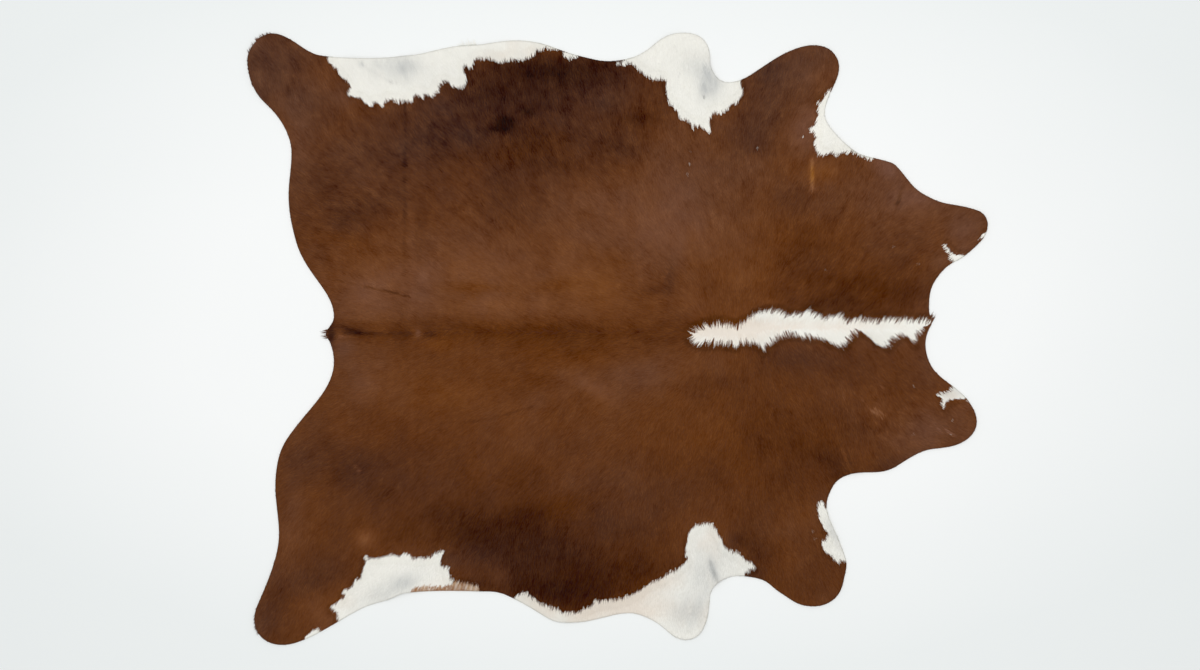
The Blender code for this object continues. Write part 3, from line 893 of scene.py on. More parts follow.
class Bench:
    """Puts nodes in a tree and joins them, with few words."""

    def __init__(self, tree: bpy.types.NodeTree) -> None:
        """Take the tree to work on."""
        self.tree = tree

    def add(self, kind: str, **settings: object) -> bpy.types.Node:
        """Add a node.

        Args:
            kind: The node's type, without its ShaderNode prefix.
            settings: Its own settings.

        Returns:
            The node.
        """
        node = self.tree.nodes.new(f"ShaderNode{kind}")
        for name, value in settings.items():
            setattr(node, name, value)
        return node

    def join(self, source: object, target: Socket) -> None:
        """Link a socket to another, or set the other to a plain value.

        Args:
            source: The socket or value.
            target: The socket that takes it.
        """
        if isinstance(source, Socket):
            self.tree.links.new(source, target)
        else:
            target.default_value = source

    def feed(self, node: bpy.types.Node, sources: dict[str, object]) -> Socket:
        """Join sockets or values to a node's inputs.

        Args:
            node: The node.
            sources: The sockets or values, by the names of the inputs.

        Returns:
            The node's first output.
        """
        for name, source in sources.items():
            self.join(source, node.inputs[name])
        return node.outputs[0]

    def maths(self, operation: str, *terms: object, kind: str = "Math", **more: bool) -> Socket:
        """Do a sum.

        Args:
            operation: The sum's name.
            terms: Sockets or values.
            kind: Which node does it, one for numbers or one for vectors.
            more: The node's other settings.

        Returns:
            The result's socket.
        """
        node = self.add(kind, operation=operation, **more)
        for term, socket in zip(terms, node.inputs):
            self.join(term, socket)
        return node.outputs[0]

    def slope(self, source: object, slope: float, start: object, clamp: bool = False) -> Socket:
        """Multiply by a slope, add a start, and keep it from 0 to 1 where it is clamped."""
        return self.maths("MULTIPLY_ADD", source, slope, start, use_clamp=clamp)

    def mix(self, share: object, first: object, second: object, way: str = "MIX") -> Socket:
        """Mix two colours.

        Args:
            share: How much of the second, a socket or a number.
            first: The first colour.
            second: The second colour.
            way: How they blend.

        Returns:
            The mixed colour's socket.
        """
        node = self.add("Mix", data_type="RGBA", blend_type=way)
        for value, name in ((share, "Factor_Float"), (first, "A_Color"), (second, "B_Color")):
            self.join(value, next(s for s in node.inputs if s.identifier == name))
        return next(s for s in node.outputs if s.identifier == "Result_Color")

    def read(self, name: str) -> Socket:
        """Read one of the piece's own number attributes."""
        return self.add("Attribute", attribute_name=name).outputs["Fac"]

    def noise(self, place: object, scale: float, detail: float, rough: float = 0.5) -> Socket:
        """Add a noise pattern.

        Args:
            place: Where it is read.
            scale: Its blotches a metre.
            detail: How many finer sizes of blotch it has.
            rough: How strong they are.

        Returns:
            Its value's socket.
        """
        return self.feed(self.add("TexNoise"), {
            "Vector": place, "Scale": scale, "Detail": detail, "Roughness": rough,
        })

    def ramp(self, share: object, stops: dict[float, tuple]) -> Socket:
        """Turn a number into a colour.

        Args:
            share: The number, from 0 to 1.
            stops: The colours, by their places on the ramp.

        Returns:
            The colour's socket.
        """
        node = self.add("ValToRGB")
        ramp = node.color_ramp
        while len(ramp.elements) < len(stops):
            ramp.elements.new(0.5)
        for element, (at, colour) in zip(ramp.elements, sorted(stops.items())):
            element.position = at
            element.color = colour
        return self.feed(node, {"Fac": share})


class FinishBench(Bench):
    """A bench with a new material on it."""

    def __init__(self, name: str) -> None:
        """Start the material.

        Args:
            name: Its name.
        """
        self.made = bpy.data.materials.new(name)
        self.made.use_nodes = True
        super().__init__(self.made.node_tree)

    def bump(self, height: object, strength: float, distance: float) -> Socket:
        """Raise a pattern by a distance in metres, and return the normal."""
        node = self.add("Bump")
        return self.feed(node, {"Height": height, "Strength": strength, "Distance": distance})

    def finish(self, colour: object, rough: object, gloss: float, **more: object) -> bpy.types.Material:
        """Join what the shader shows.

        Args:
            colour: Its base colour.
            rough: Its roughness.
            gloss: The level of its gloss.
            more: Its other inputs.

        Returns:
            The material.
        """
        shader = self.tree.nodes["Principled BSDF"]
        looks = {"Base Color": colour, "Roughness": rough, "Specular IOR Level": gloss}
        self.feed(shader, looks | more)
        return self.made


@dataclass(frozen=True)
class HairColour:
    """The colours of the hair, as a group that the coat and the skin under it share."""

    browns: tuple = (
        (0.0, linear(42, 15, 3)), (0.25, linear(67, 34, 15)), (0.5, linear(101, 57, 26)),
        (0.72, linear(119, 73, 42)), (1.0, linear(146, 100, 68)),
    )  # each with its place on the ramp
    strand_share: float = 0.04  # how far a strand's stray moves it along the ramp
    tint_share: float = 0.6  # how much of its tint a ginger or grey place takes
    ginger_tint: tuple = (1.12, 0.98, 0.35, 1.0)  # what a share of it makes of the brown
    grey_tint: tuple = (0.92, 1.18, 2.3, 1.0)
    sheen: tuple = (0.018, 0.009, 0.004)  # what the palest strands add to the brown
    blackest: tuple = (0.002, 0.001, 0.0006)
    # painted shade along the cut edge, where the hide meets the floor, over the cut hair's own darker
    # ends
    rim: tuple = linear(32, 14, 6)  # of the brown, along the cut edge
    edge_shade_share: float = 0.22
    white: tuple = linear(245, 243, 235)
    warm: tuple = linear(238, 228, 215)
    warm_share: float = 1.2
    thin: tuple = linear(201, 202, 199)
    shade_dulling: tuple = (0.22, 0.89)  # how the shade dulls the white, a slope and a start
    strand_dulling: tuple = (0.03, 0.97)
    tan: tuple = linear(146, 98, 62)
    tan_pale: tuple = linear(202, 170, 136)
    tan_strands: tuple = (0.7, 0.5)
    # painted shade along the white's cut edge: a grey line where the hide meets the floor
    pale_edge_shade: tuple = linear(176, 176, 164)
    pale_edge_shade_share: float = 0.8

    def group(self) -> bpy.types.NodeTree:
        """Build the group, the first time only.

        Returns:
            The group.
        """
        found = bpy.data.node_groups.get("hair_colour")
        if found:
            return found
        tree = bpy.data.node_groups.new("hair_colour", "ShaderNodeTree")
        # the last input tells how much painted shade of the cut edge a place takes
        for name in ("Shade", "Ginger", "White", "Tan", "Thin", "Stray", "Rim"):
            tree.interface.new_socket(name, in_out="INPUT", socket_type="NodeSocketFloat")
        tree.interface.new_socket("Colour", in_out="OUTPUT", socket_type="NodeSocketColor")
        bench = Bench(tree)
        inside = tree.nodes.new("NodeGroupInput").outputs
        outside = tree.nodes.new("NodeGroupOutput").inputs
        brown, pale = self.brown(bench, inside), self.pale(bench, inside)
        bench.join(bench.mix(inside["White"], brown, pale), outside["Colour"])
        return tree

    def brown(self, bench: Bench, inside: object) -> Socket:
        """Work out the colour of brown hair.

        Args:
            bench: The group's bench.
            inside: What the group is given.

        Returns:
            The colour's socket.
        """
        stray = inside["Stray"]
        brown = bench.ramp(bench.slope(stray, self.strand_share, inside["Shade"]), dict(self.browns))
        for share, tint in ((self.tint_share, self.ginger_tint), (-self.tint_share, self.grey_tint)):
            much = bench.maths("MULTIPLY", inside["Ginger"], share, use_clamp=True)
            brown = bench.mix(much, brown, bench.mix(1.0, brown, tint, "MULTIPLY"))
        brown = bench.maths("MULTIPLY_ADD", stray, self.sheen, brown, kind="VectorMath")
        brown = bench.maths("MAXIMUM", brown, self.blackest, kind="VectorMath")
        # painted shade: the brown darkens along the cut edge
        return bench.mix(bench.maths("MULTIPLY", inside["Rim"], self.edge_shade_share), brown, self.rim)

    def pale(self, bench: Bench, inside: object) -> Socket:
        """Work out the colour of white or tan hair.

        Args:
            bench: The group's bench.
            inside: What the group is given.

        Returns:
            The colour's socket.
        """
        warmer = bench.maths("MULTIPLY", inside["Ginger"], self.warm_share, use_clamp=True)
        pale = bench.mix(inside["Thin"], bench.mix(warmer, self.white, self.warm), self.thin)
        dull = bench.slope(inside["Shade"], *self.shade_dulling)
        dull = bench.maths("MULTIPLY", dull, bench.slope(inside["Stray"], *self.strand_dulling))
        pale = bench.mix(1.0, pale, dull, "MULTIPLY")
        paler = bench.slope(inside["Stray"], *self.tan_strands, clamp=True)
        pale = bench.mix(inside["Tan"], pale, bench.mix(paler, self.tan, self.tan_pale))
        # painted shade: the white greys along the cut edge
        rim = bench.maths("MULTIPLY", inside["Rim"], self.pale_edge_shade_share)
        return bench.mix(rim, pale, self.pale_edge_shade)

    def paint(self, bench: Bench, **sources: object) -> Socket:
        """Put the group in a material.

        Args:
            bench: The material's bench.
            sources: What the group is given, by the names of its inputs.

        Returns:
            The colour's socket.
        """
        node = bench.tree.nodes.new("ShaderNodeGroup")
        node.node_tree = self.group()
        return bench.feed(node, sources)


@dataclass(frozen=True)
class CoatFinish:
    """Short hair in locks: fine strands, darker at their roots, with a soft sheen."""

    colour: HairColour = HairColour()
    strands: float = 5.0  # fine hairs across a lock
    strand_ends: float = 1.2  # and how often they change along it
    apart: Pair = (40.0, 17.0)  # keeps the strands of two locks from matching
    streak: Pair = (1.6, -0.8)  # how strands differ, a slope and a start
    lock_share: float = 0.75  # how much of a lock's own stray shows
    tip: Pair = (0.5, -0.3)  # how it lightens to its tip
    # painted shade along the cut edge: how far in it reaches
    edge_shade_width: float = 3.5  # how far in from the cut edge, in millimetres, the coat is darker
    rough: Pair = (0.16, 0.54)
    gloss: float = 0.015
    bump: Pair = (0.35, 0.0004)  # its strength, and its height in metres

    def material(self) -> bpy.types.Material:
        """Build the coat's material.

        Returns:
            The material.
        """
        bench = FinishBench("hair_coat")
        along, across, stray = (bench.read(name) for name in ("along", "across", "stray"))
        names = ("Shade", "Ginger", "White", "Tan", "Thin")
        charted_looks = {name: bench.read(name.lower()) for name in names}
        far_x, far_z = self.apart
        spot = bench.feed(bench.add("CombineXYZ"), {
            "X": bench.slope(across, self.strands, bench.maths("MULTIPLY", stray, far_x)),
            "Y": bench.maths("MULTIPLY", along, self.strand_ends),
            "Z": bench.maths("MULTIPLY", stray, far_z),
        })
        strand = bench.noise(spot, 1.0, 1.0)
        lock = bench.slope(stray, self.lock_share, bench.slope(strand, *self.streak))
        mixed = bench.maths("ADD", lock, bench.slope(along, *self.tip))
        # painted shade along the cut edge, strongest at it and gone at the width's end
        off_edge = bench.maths("ABSOLUTE", bench.read("inside"))
        rim = bench.slope(off_edge, -1.0 / self.edge_shade_width, 1.0, clamp=True)
        colour = self.colour.paint(bench, Stray=mixed, Rim=rim, **charted_looks)
        rough = bench.slope(strand, *self.rough)
        return bench.finish(colour, rough, self.gloss, Normal=bench.bump(strand, *self.bump))


@dataclass(frozen=True)
class SkinFinish:
    """The hide itself: skin and an undercoat darkened as painted shade on the hair side, suede on the
    flesh side and the cut edge.
    """

    colour: HairColour = HairColour()
    undercoat: Pair = (420.0, 2.0)  # blotches a metre, and how fine
    # mostly below nought, so the undercoat is darker: painted shade between the locks
    undercoat_painted_shade: Pair = (2.4, -1.9)
    border: Pair = (0.5, 0.5)  # how a depth in a marking turns into its share
    suede: tuple = linear(204, 196, 184)
    suede_dark: tuple = linear(176, 164, 148)
    suede_stain: tuple = linear(150, 132, 112)
    fibres: tuple[float, float, float] = (160.0, 4.0, 0.65)
    clouds: Pair = (7.0, 3.0)
    worn: Pair = (3.0, -1.5)
    stain_share: float = 0.35
    edge_at: float = 0.55  # how far up the cut edge the skin gives way to hair
    edge_slope: float = 12.0
    rough: Pair = (0.15, 0.78)
    gloss: float = 0.2
    bump: Pair = (0.5, 0.0006)

    def material(self) -> bpy.types.Material:
        """Build the hide's material.

        Returns:
            The material.
        """
        bench = FinishBench("suede_skin")
        place = bench.add("TexCoord").outputs["Object"]
        fine = bench.noise(place, *self.undercoat)
        looks = {name: bench.read(name.lower()) for name in ("Shade", "Ginger", "Thin")}
        for name in ("White", "Tan"):
            depth = bench.read(f"{name.lower()}_depth")
            looks[name] = bench.slope(depth, *self.border, clamp=True)
        # painted shade between the locks: the undercoat is darker than the coat
        hair = self.colour.paint(bench, Stray=bench.slope(fine, *self.undercoat_painted_shade), **looks)
        fibre = bench.noise(place, *self.fibres)
        worn = bench.slope(bench.noise(place, *self.clouds), *self.worn, clamp=True)
        stained = bench.maths("MULTIPLY", worn, self.stain_share)
        suede = bench.mix(fibre, self.suede_dark, self.suede)
        suede = bench.mix(stained, suede, self.suede_stain)
        start = -self.edge_slope * self.edge_at
        up = bench.slope(bench.read("hair_side"), self.edge_slope, start, clamp=True)
        rough = bench.slope(fibre, *self.rough)
        normal = bench.bump(fibre, *self.bump)
        return bench.finish(bench.mix(up, suede, hair), rough, self.gloss, Normal=normal)


@dataclass(frozen=True)
class FloorFinish:
    """A plain pale floor, matt, with painted shade that makes it a little cooler and duller towards its
    rim.
    """

    pale: tuple = linear(247, 248, 247)
    # painted shade: the colour that the floor dulls to towards its rim
    rim: tuple = linear(238, 241, 240)
    middle: tuple = (0.05, -0.17, 0.0)  # moves the palest place to the origin, in metres
    squeeze: tuple = (1.0, 2.0, 1.0)  # how much sooner it dulls each way
    clouds: Pair = (0.9, 1.0)
    dulling: Pair = (0.4, -1.5)  # how far the clouds count, and where it starts
    rough: float = 0.9
    gloss: float = 0.1

    def material(self) -> bpy.types.Material:
        """Build the floor's material.

        Returns:
            The material.
        """
        bench = FinishBench("studio_floor")
        place = bench.feed(bench.add("Mapping"), {
            "Vector": bench.add("TexCoord").outputs["Object"],
            "Location": self.middle, "Scale": self.squeeze,
        })
        out = bench.add("VectorMath", operation="LENGTH")
        bench.join(place, out.inputs[0])
        # painted shade: the floor dulls with the distance from its palest place, unevenly
        cloud = bench.slope(bench.noise(place, *self.clouds), *self.dulling)
        dull = bench.maths("ADD", out.outputs["Value"], cloud, use_clamp=True)
        return bench.finish(bench.mix(dull, self.pale, self.rim), self.rough, self.gloss)


# ---------------------------------------------------------------------------------------------
# Pieces
# ---------------------------------------------------------------------------------------------


def give(mesh: bpy.types.Mesh, name: str, values: Array) -> None:
    """Give a mesh a number attribute, one value a vertex."""
    layer = mesh.attributes.new(name, "FLOAT", "POINT")
    layer.data.foreach_set("value", np.asarray(values, np.float32))


def read_rows(items: object, name: str) -> Array:
    """Read three numbers from each item of a mesh.

    Args:
        items: Its vertices, or what else it is made of.
        name: Which of their values.

    Returns:
        The numbers, one item a row.
    """
    values = np.empty(len(items) * 3)
    items.foreach_get(name, values)
    return values.reshape(-1, 3)


def lengths(rows: Array) -> Array:
    """Give each row's length as a vector, as a column."""
    return np.linalg.norm(rows, axis=1)[:, None]


def drop(surface: BVHTree, x: float, y: float) -> tuple[Vector | None, Vector | None]:
    """Find the point of a surface under a place in metres, and the normal there, where it has any."""
    point, normal, _, _ = surface.ray_cast(Vector((x, y, ABOVE)), DOWN)
    return point, normal


def put(name: str, data: bpy.types.ID) -> bpy.types.Object:
    """Put a new object in the scene.

    Args:
        name: Its name.
        data: Its mesh, light or camera.

    Returns:
        The object.
    """
    thing = bpy.data.objects.new(name, data)
    bpy.context.scene.collection.objects.link(thing)
    return thing


def place_piece(mesh: bpy.types.Mesh, name: str) -> bpy.types.Object:
    """Put a finished mesh in the scene as a piece of the rug.

    Args:
        mesh: The mesh, already in its place.
        name: The piece's name.

    Returns:
        The piece.
    """
    piece = put(name, mesh)
    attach(piece, "root")
    return piece


@dataclass
class HideSkin:
    """The hide without its coat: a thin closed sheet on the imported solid's own swells and folds."""

    node: str = "hide"
    pitch: float = 11.0  # between the points of its hair side
    border_pitch: float = 4.1  # and the same beside the border of a marking
    border_reach: float = 9.0
    edge_clear: float = 5.0  # that the points keep from the cut edge
    welding: float = 0.02  # points of the solid closer than this are one
    net_closeness: float = 1e-4
    rounding: int = 14  # passes that round off the solid's facets
    rounding_share: float = 0.5  # of the way, in each pass
    unevenness: Waves = (Wave(0.35, 85.0),)  # of a hide that lies flat
    crease: float = 50.0  # degrees, past which an edge is sharp
    flat: Pair = (2.302, 1.904)
    area: float = 3.265
    finish: SkinFinish = field(default_factory=SkinFinish)
    colouring: Colouring = field(default_factory=Colouring)
    lay: HairLay = field(default_factory=HairLay)

    def hair_side(self, shell: bmesh.types.BMesh) -> list[bmesh.types.BMFace]:
        """List the faces that look up."""
        return [face for face in shell.faces if face.normal.z > UPWARD]

    def inner_points(self, edge: Array) -> Array:
        """Lay a net of points over the hair side, finer beside the borders of the markings.

        Args:
            edge: The cut edge's points in millimetres, in order.

        Returns:
            The points, seen from above.
        """
        kept = []
        for pitch, fine in ((self.pitch, False), (self.border_pitch, True)):
            points = even_points(np.abs(edge).max(0), pitch)
            reach = self.border_reach if fine else self.border_reach + self.border_pitch / 2
            beside = np.abs(self.colouring.deepest(points)) < reach
            kept.append(points[beside == fine])
        points = np.concatenate(kept)
        return points[depth_in(points, edge) > self.edge_clear]

    def edge_verts(self, top: list[bmesh.types.BMFace]) -> list[bmesh.types.BMVert]:
        """List the vertices of the cut edge's upper rim, in order around the hair side.

        Args:
            top: The faces of the hair side.

        Returns:
            The vertices.
        """
        follow = {}
        for face in top:
            for corner in face.loops:
                if any(other.normal.z < UPWARD for other in corner.edge.link_faces):
                    follow[corner.vert] = corner.link_loop_next.vert
        ordered = [min(follow, key=lambda vert: vert.index)]
        while follow[ordered[-1]] is not ordered[0]:
            ordered.append(follow[ordered[-1]])
        return ordered

    def net(self, shell: bmesh.types.BMesh) -> Array:
        """Make the hair side anew as an even net of triangles, on the same cut edge and swells.

        Args:
            shell: The hide, which is changed.

        Returns:
            The cut edge's points in millimetres, in order.
        """
        under = BVHTree.FromBMesh(shell)
        top = self.hair_side(shell)
        ordered = self.edge_verts(top)
        bmesh.ops.delete(shell, geom=top, context="FACES")
        edge = np.array([v.co[:2] for v in ordered]) / MM
        points = [Vector(p) for p in np.concatenate([edge, self.inner_points(edge)])]
        ties = [(index, (index + 1) % len(edge)) for index in range(len(edge))]
        inside_only = 1
        flat, _, faces, sources, _, _ = delaunay_2d_cdt(
            points, ties, [], inside_only, self.net_closeness
        )
        made = []
        for place, source in zip(flat, sources):
            if source and source[0] < len(edge):
                made.append(ordered[source[0]])
                continue
            height = drop(under, place.x * MM, place.y * MM)[0].z
            made.append(shell.verts.new((place.x * MM, place.y * MM, height)))
        for face in faces:
            shell.faces.new([made[index] for index in face])
        return edge

    def round_off(self, shell: bmesh.types.BMesh) -> None:
        """Round the facets of the hair side off, and give it slow waves, leaving the cut edge alone.

        Args:
            shell: The hide, which is changed.
        """
        shell.normal_update()
        inner = [v for v in shell.verts if all(f.normal.z > UPWARD for f in v.link_faces)]
        for _ in range(self.rounding):
            bmesh.ops.smooth_vert(
                shell, verts=inner, factor=self.rounding_share, use_axis_z=True
            )
        places = np.array([v.co[:2] for v in inner]) / MM
        for vert, height in zip(inner, Grain(Draw.SWELLS).total(places, self.unevenness)):
            vert.co.z += float(height) * MM

    def build(self) -> tuple[bpy.types.Object, BVHTree, Array]:
        """Build the hide and dress it.

        Returns:
            The piece, its hair side for laying the coat on, and its cut edge in millimetres.
        """
        shell = bmesh.new()
        shell.from_mesh(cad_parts[self.node].data)
        bmesh.ops.remove_doubles(shell, verts=shell.verts[:], dist=self.welding * MM)
        shell.verts.index_update()
        shell.normal_update()
        edge = self.net(shell)
        self.round_off(shell)
        shell.normal_update()
        tops = {v for f in self.hair_side(shell) for v in f.verts}
        raised = np.array([1.0 if v in tops else 0.0 for v in shell.verts])
        surface = BVHTree.FromBMesh(shell)
        mesh = bpy.data.meshes.new("hide_skin")
        shell.to_mesh(mesh)
        shell.free()
        mesh.shade_smooth()
        mesh.set_sharp_from_angle(angle=math.radians(self.crease))
        self.dress(mesh, raised)
        piece = place_piece(mesh, "hide_skin")
        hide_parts(self.node)
        return piece, surface, edge

    def dress(self, mesh: bpy.types.Mesh, raised: Array) -> None:
        """Chart the colours of the undercoat on the mesh, and give it its finish.

        Args:
            mesh: The hide's mesh.
            raised: 1 for each vertex of the hair side, and 0 for the others.
        """
        charts, points = self.colouring, read_rows(mesh.vertices, "co")[:, :2] / MM
        places = Places(points, self.lay.at(points))
        for name, values in (
            ("hair_side", raised), ("white_depth", charts.depth(places, Hue.WHITE)),
            ("tan_depth", charts.depth(places, Hue.TAN)), ("shade", charts.shade(points)),
            ("ginger", charts.ginger(points)), ("thin", charts.thin(places)),
        ):
            give(mesh, name, values)
        mesh.materials.append(self.finish.material())


@dataclass
class LockShape:
    """One lock of hair: a tapered closed sliver, widest at its root."""

    sides: int = 3
    welding: float = 1e-5

    def sliver(self) -> tuple[Array, Array]:
        """Model a lock of unit size along +X, with its ridge up.

        Returns:
            Its vertices, one a row, and its triangles' vertex numbers.
        """
        shape = bmesh.new()
        bmesh.ops.create_cone(
            shape, cap_ends=True, segments=self.sides, radius1=1.0, radius2=0.0, depth=1.0
        )
        bmesh.ops.remove_doubles(shape, verts=shape.verts[:], dist=self.welding)
        bmesh.ops.triangulate(shape, faces=shape.faces[:])
        bmesh.ops.recalc_face_normals(shape, faces=shape.faces[:])
        shape.verts.index_update()
        points = np.array([(v.co.z + 0.5, v.co.x, v.co.y) for v in shape.verts])
        faces = np.array([[v.index for v in f.verts] for f in shape.faces])
        shape.free()
        return points, faces


@dataclass
class Roots:
    """The roots of locks, one a row."""

    places: Array  # in millimetres
    normals: Array  # the skin's there
    squares: Array  # of the map, each lock's own
    lie: Array  # the way that the hair lies there
    longer: Array  # each lock's length, as a share of the usual


@dataclass
class Coat:
    """The hair of the whole hide, lock by lock, in layers that lie in among each other."""

    surface: BVHTree
    edge: Array
    pitch: float = 4.25  # between one lock's root and the next
    length: float = 16.0
    width: float = 3.3
    thickness: float = 0.32
    sizes: Pair = (0.72, 1.28)  # the least and the most of them, as shares
    sunk: float = 0.15  # how deep a lock's root is in the skin
    turn: float = 5.0  # degrees that locks turn off the lay
    rise: float = 4.0  # degrees that a lock stands off the skin
    rise_spread: float = 1.6
    evenness: float = 0.75  # how far a lock takes its shading from the skin under it
    showing: float = 0.55  # how far along a lock the part is that shows
    mingling: float = 0.6  # how far a lock strays over a border between two colours
    stray: float = 0.8  # how much lighter or darker a lock is than those beside it
    # painted shade and light: how much darker than the charts its brown is, and how much paler its
    # white, where its locks are shaded otherwise than the coat's
    painted_gap_shade: float = 0.0  # how much darker its brown is than the charts say
    paler: float = 0.0  # and how much paler its white is
    overhang: float = 2.6  # the most that a lock reaches past the cut edge, but for the tufts
    shortest: float = 0.05  # the least share of its length that a lock is cut to
    cut_step: float = 0.15
    tuft_least: float = 0.3
    map_share: float = 0.7  # of its square of the map that a lock fills
    map_width: float = 0.55
    map_base: Chart = ((-0.45, -0.4), (0.1, 0.0), (-0.45, 0.4))  # where a lock's root end lies
    colouring: Colouring = field(default_factory=Colouring)
    lay: HairLay = field(default_factory=HairLay)
    finish: CoatFinish = field(default_factory=CoatFinish)
    seed: int = 42

    def __post_init__(self) -> None:
        """Model the lock that all the others are copies of."""
        self.template, self.faces = LockShape().sliver()

    def squares(self) -> Array:
        """Count the squares that the hide is ruled in, each with one root of every layer."""
        return np.ceil(HALF / self.pitch).astype(int)

    def scatter(self, rng: Generator, layer: Layer) -> tuple[Array, Array]:
        """Scatter the roots of one layer, one in its corner of each square.

        Args:
            rng: Where the scatter is drawn from.
            layer: Which layer.

        Returns:
            The places in millimetres, and each one's square.
        """
        _, *corner = layer.value
        columns, rows = self.squares()
        squares = np.stack(np.meshgrid(np.arange(columns), np.arange(rows)), -1).reshape(-1, 2)
        places = (2 * squares + corner + rng.uniform(0.0, 1.0, squares.shape)) * self.pitch - HALF
        return places, squares

    def rooted(self, places: Array, squares: Array) -> Roots:
        """Find the skin under places, leaving out those off the hide.

        Args:
            places: Places in millimetres, seen from above.
            squares: Each one's square of the map.

        Returns:
            The roots there.
        """
        found, normals, kept = [], [], []
        for number, (x, y) in enumerate(places):
            hit, normal = drop(self.surface, x * MM, y * MM)
            if hit is not None and normal.z > UPWARD:
                found.append(hit)
                normals.append(normal)
                kept.append(number)
        roots = np.array(found) / MM
        lie, longer = self.lay.at(roots[:, :2]), self.colouring.longer(roots)
        return Roots(roots, np.array(normals), squares[kept], lie, longer)

    def reach(self, rng: Generator, roots: Array, along: Array) -> Array:
        """Shorten the locks that would reach past the cut edge, except where the coat is tufted.

        Args:
            rng: Where the locks' differences are drawn from.
            roots: The roots' places.
            along: Each lock's length as a vector.

        Returns:
            The share of its length that each lock keeps.
        """
        share = np.ones(len(roots))
        for number, (root, run) in enumerate(zip(roots * MM, along * MM)):
            while share[number] > self.shortest:
                x, y, _ = root + run * share[number]
                if drop(self.surface, x, y)[0] is not None:
                    break
                share[number] -= self.cut_step
        cut = share < 1.0
        share[cut] += rng.uniform(0.0, self.overhang, cut.sum()) / lengths(along)[cut, 0]
        share = np.minimum(share, 1.0)
        for tuft in TUFTS:
            free = cut & (oval_share(roots, tuft) < 1.0)
            longest = rng.uniform(self.tuft_least, tuft.shade, free.sum())
            share[free] = np.maximum(share[free], longest)
        return share

    def stand(self, rng: Generator, roots: Roots) -> Array:
        """Work out each lock's own axes, each as long as the lock is that way.

        Args:
            rng: Where the locks' differences are drawn from.
            roots: The roots.

        Returns:
            For each lock, its length, width and thickness as three vectors.
        """
        count, normals = len(roots.places), roots.normals
        turn = np.radians(rng.normal(0.0, self.turn, count))
        x, y = roots.lie.T
        cos, sin = np.cos(turn), np.sin(turn)
        lie = np.stack([x * cos - y * sin, x * sin + y * cos, np.zeros(count)], 1)
        along = lie - (lie * normals).sum(1)[:, None] * normals
        along /= lengths(along)
        tilt = np.radians(self.rise + rng.normal(0.0, self.rise_spread, count))[:, None]
        along = along * np.cos(tilt) + normals * np.sin(tilt)
        across = np.cross(normals, along)
        across /= lengths(across)
        up = np.cross(along, across)
        size = rng.uniform(*self.sizes, (count, 3))
        along *= self.length * size[:, :1] * roots.longer[:, None]
        along *= self.reach(rng, roots.places, along)[:, None]
        across *= self.width / math.sqrt(3.0) * size[:, 1:2]
        return np.stack([along, across, up * (self.thickness * size[:, 2:])], 1)

    def build(self, layer: Layer, material: bpy.types.Material) -> bpy.types.Object:
        """Build and dress one layer of the coat.

        Args:
            layer: Which layer.
            material: The coat's material.

        Returns:
            The piece.
        """
        name = layer.value[0]
        rng = np.random.default_rng((self.seed, *name.encode()))
        return self.lay_down(rng, name, self.rooted(*self.scatter(rng, layer)), material)

    def lay_down(
        self, rng: Generator, name: str, roots: Roots, material: bpy.types.Material
    ) -> bpy.types.Object:
        """Lay locks on the hide, shade, colour and map them, and make them one piece.

        Args:
            rng: Where the locks' differences are drawn from.
            name: The piece's name.
            roots: The locks' roots.
            material: The coat's material.

        Returns:
            The piece.
        """
        axes = self.stand(rng, roots)
        points = np.einsum("vk,nkc->nvc", self.template, axes) + roots.places[:, None]
        points[:, :, 2] -= self.sunk
        mesh = self.mesh_of(name, points * MM)
        self.soften(mesh, np.repeat(roots.normals, len(self.template), 0))
        self.dress(mesh, rng, roots)
        tips = roots.places + axes[:, 0]
        root, tip = (depth_in(ends, self.edge)[:, None] for ends in (roots.places, tips))
        along = self.template[:, 0]
        give(mesh, "inside", (root * (1.0 - along) + tip * along).ravel())
        self.unwrap(mesh, roots.squares)
        mesh.materials.append(material)
        return place_piece(mesh, name)

    def mesh_of(self, name: str, points: Array) -> bpy.types.Mesh:
        """Make one mesh of many locks.

        Args:
            name: The mesh's name.
            points: For each lock, its vertices in metres.

        Returns:
            The mesh.
        """
        count, each, _ = points.shape
        mesh = bpy.data.meshes.new(name)
        mesh.vertices.add(count * each)
        mesh.vertices.foreach_set("co", points.astype(np.float32).ravel())
        corners = (self.faces + np.arange(count)[:, None, None] * each).reshape(-1)
        mesh.loops.add(len(corners))
        mesh.loops.foreach_set("vertex_index", corners.astype(np.int32))
        mesh.polygons.add(len(corners) // 3)
        mesh.polygons.foreach_set("loop_start", np.arange(0, len(corners), 3, dtype=np.int32))
        mesh.update(calc_edges=True)
        mesh.shade_smooth()
        return mesh

    def soften(self, mesh: bpy.types.Mesh, skin: Array) -> None:
        """Bend the shading of the locks' upper sides towards the skin's, so that the coat is one.

        Args:
            mesh: The layer's mesh.
            skin: The skin's normal under each vertex.
        """
        own = read_rows(mesh.vertex_normals, "vector")
        bent = own * (1.0 - self.evenness) + skin * self.evenness
        bent /= lengths(bent)
        corners = np.empty(len(mesh.loops), np.int32)
        mesh.loops.foreach_get("vertex_index", corners)
        sides = np.repeat(read_rows(mesh.polygon_normals, "vector"), 3, 0)
        above = (sides * skin[corners]).sum(1) > 0.0
        mesh.normals_split_custom_set(np.where(above[:, None], bent[corners], sides))

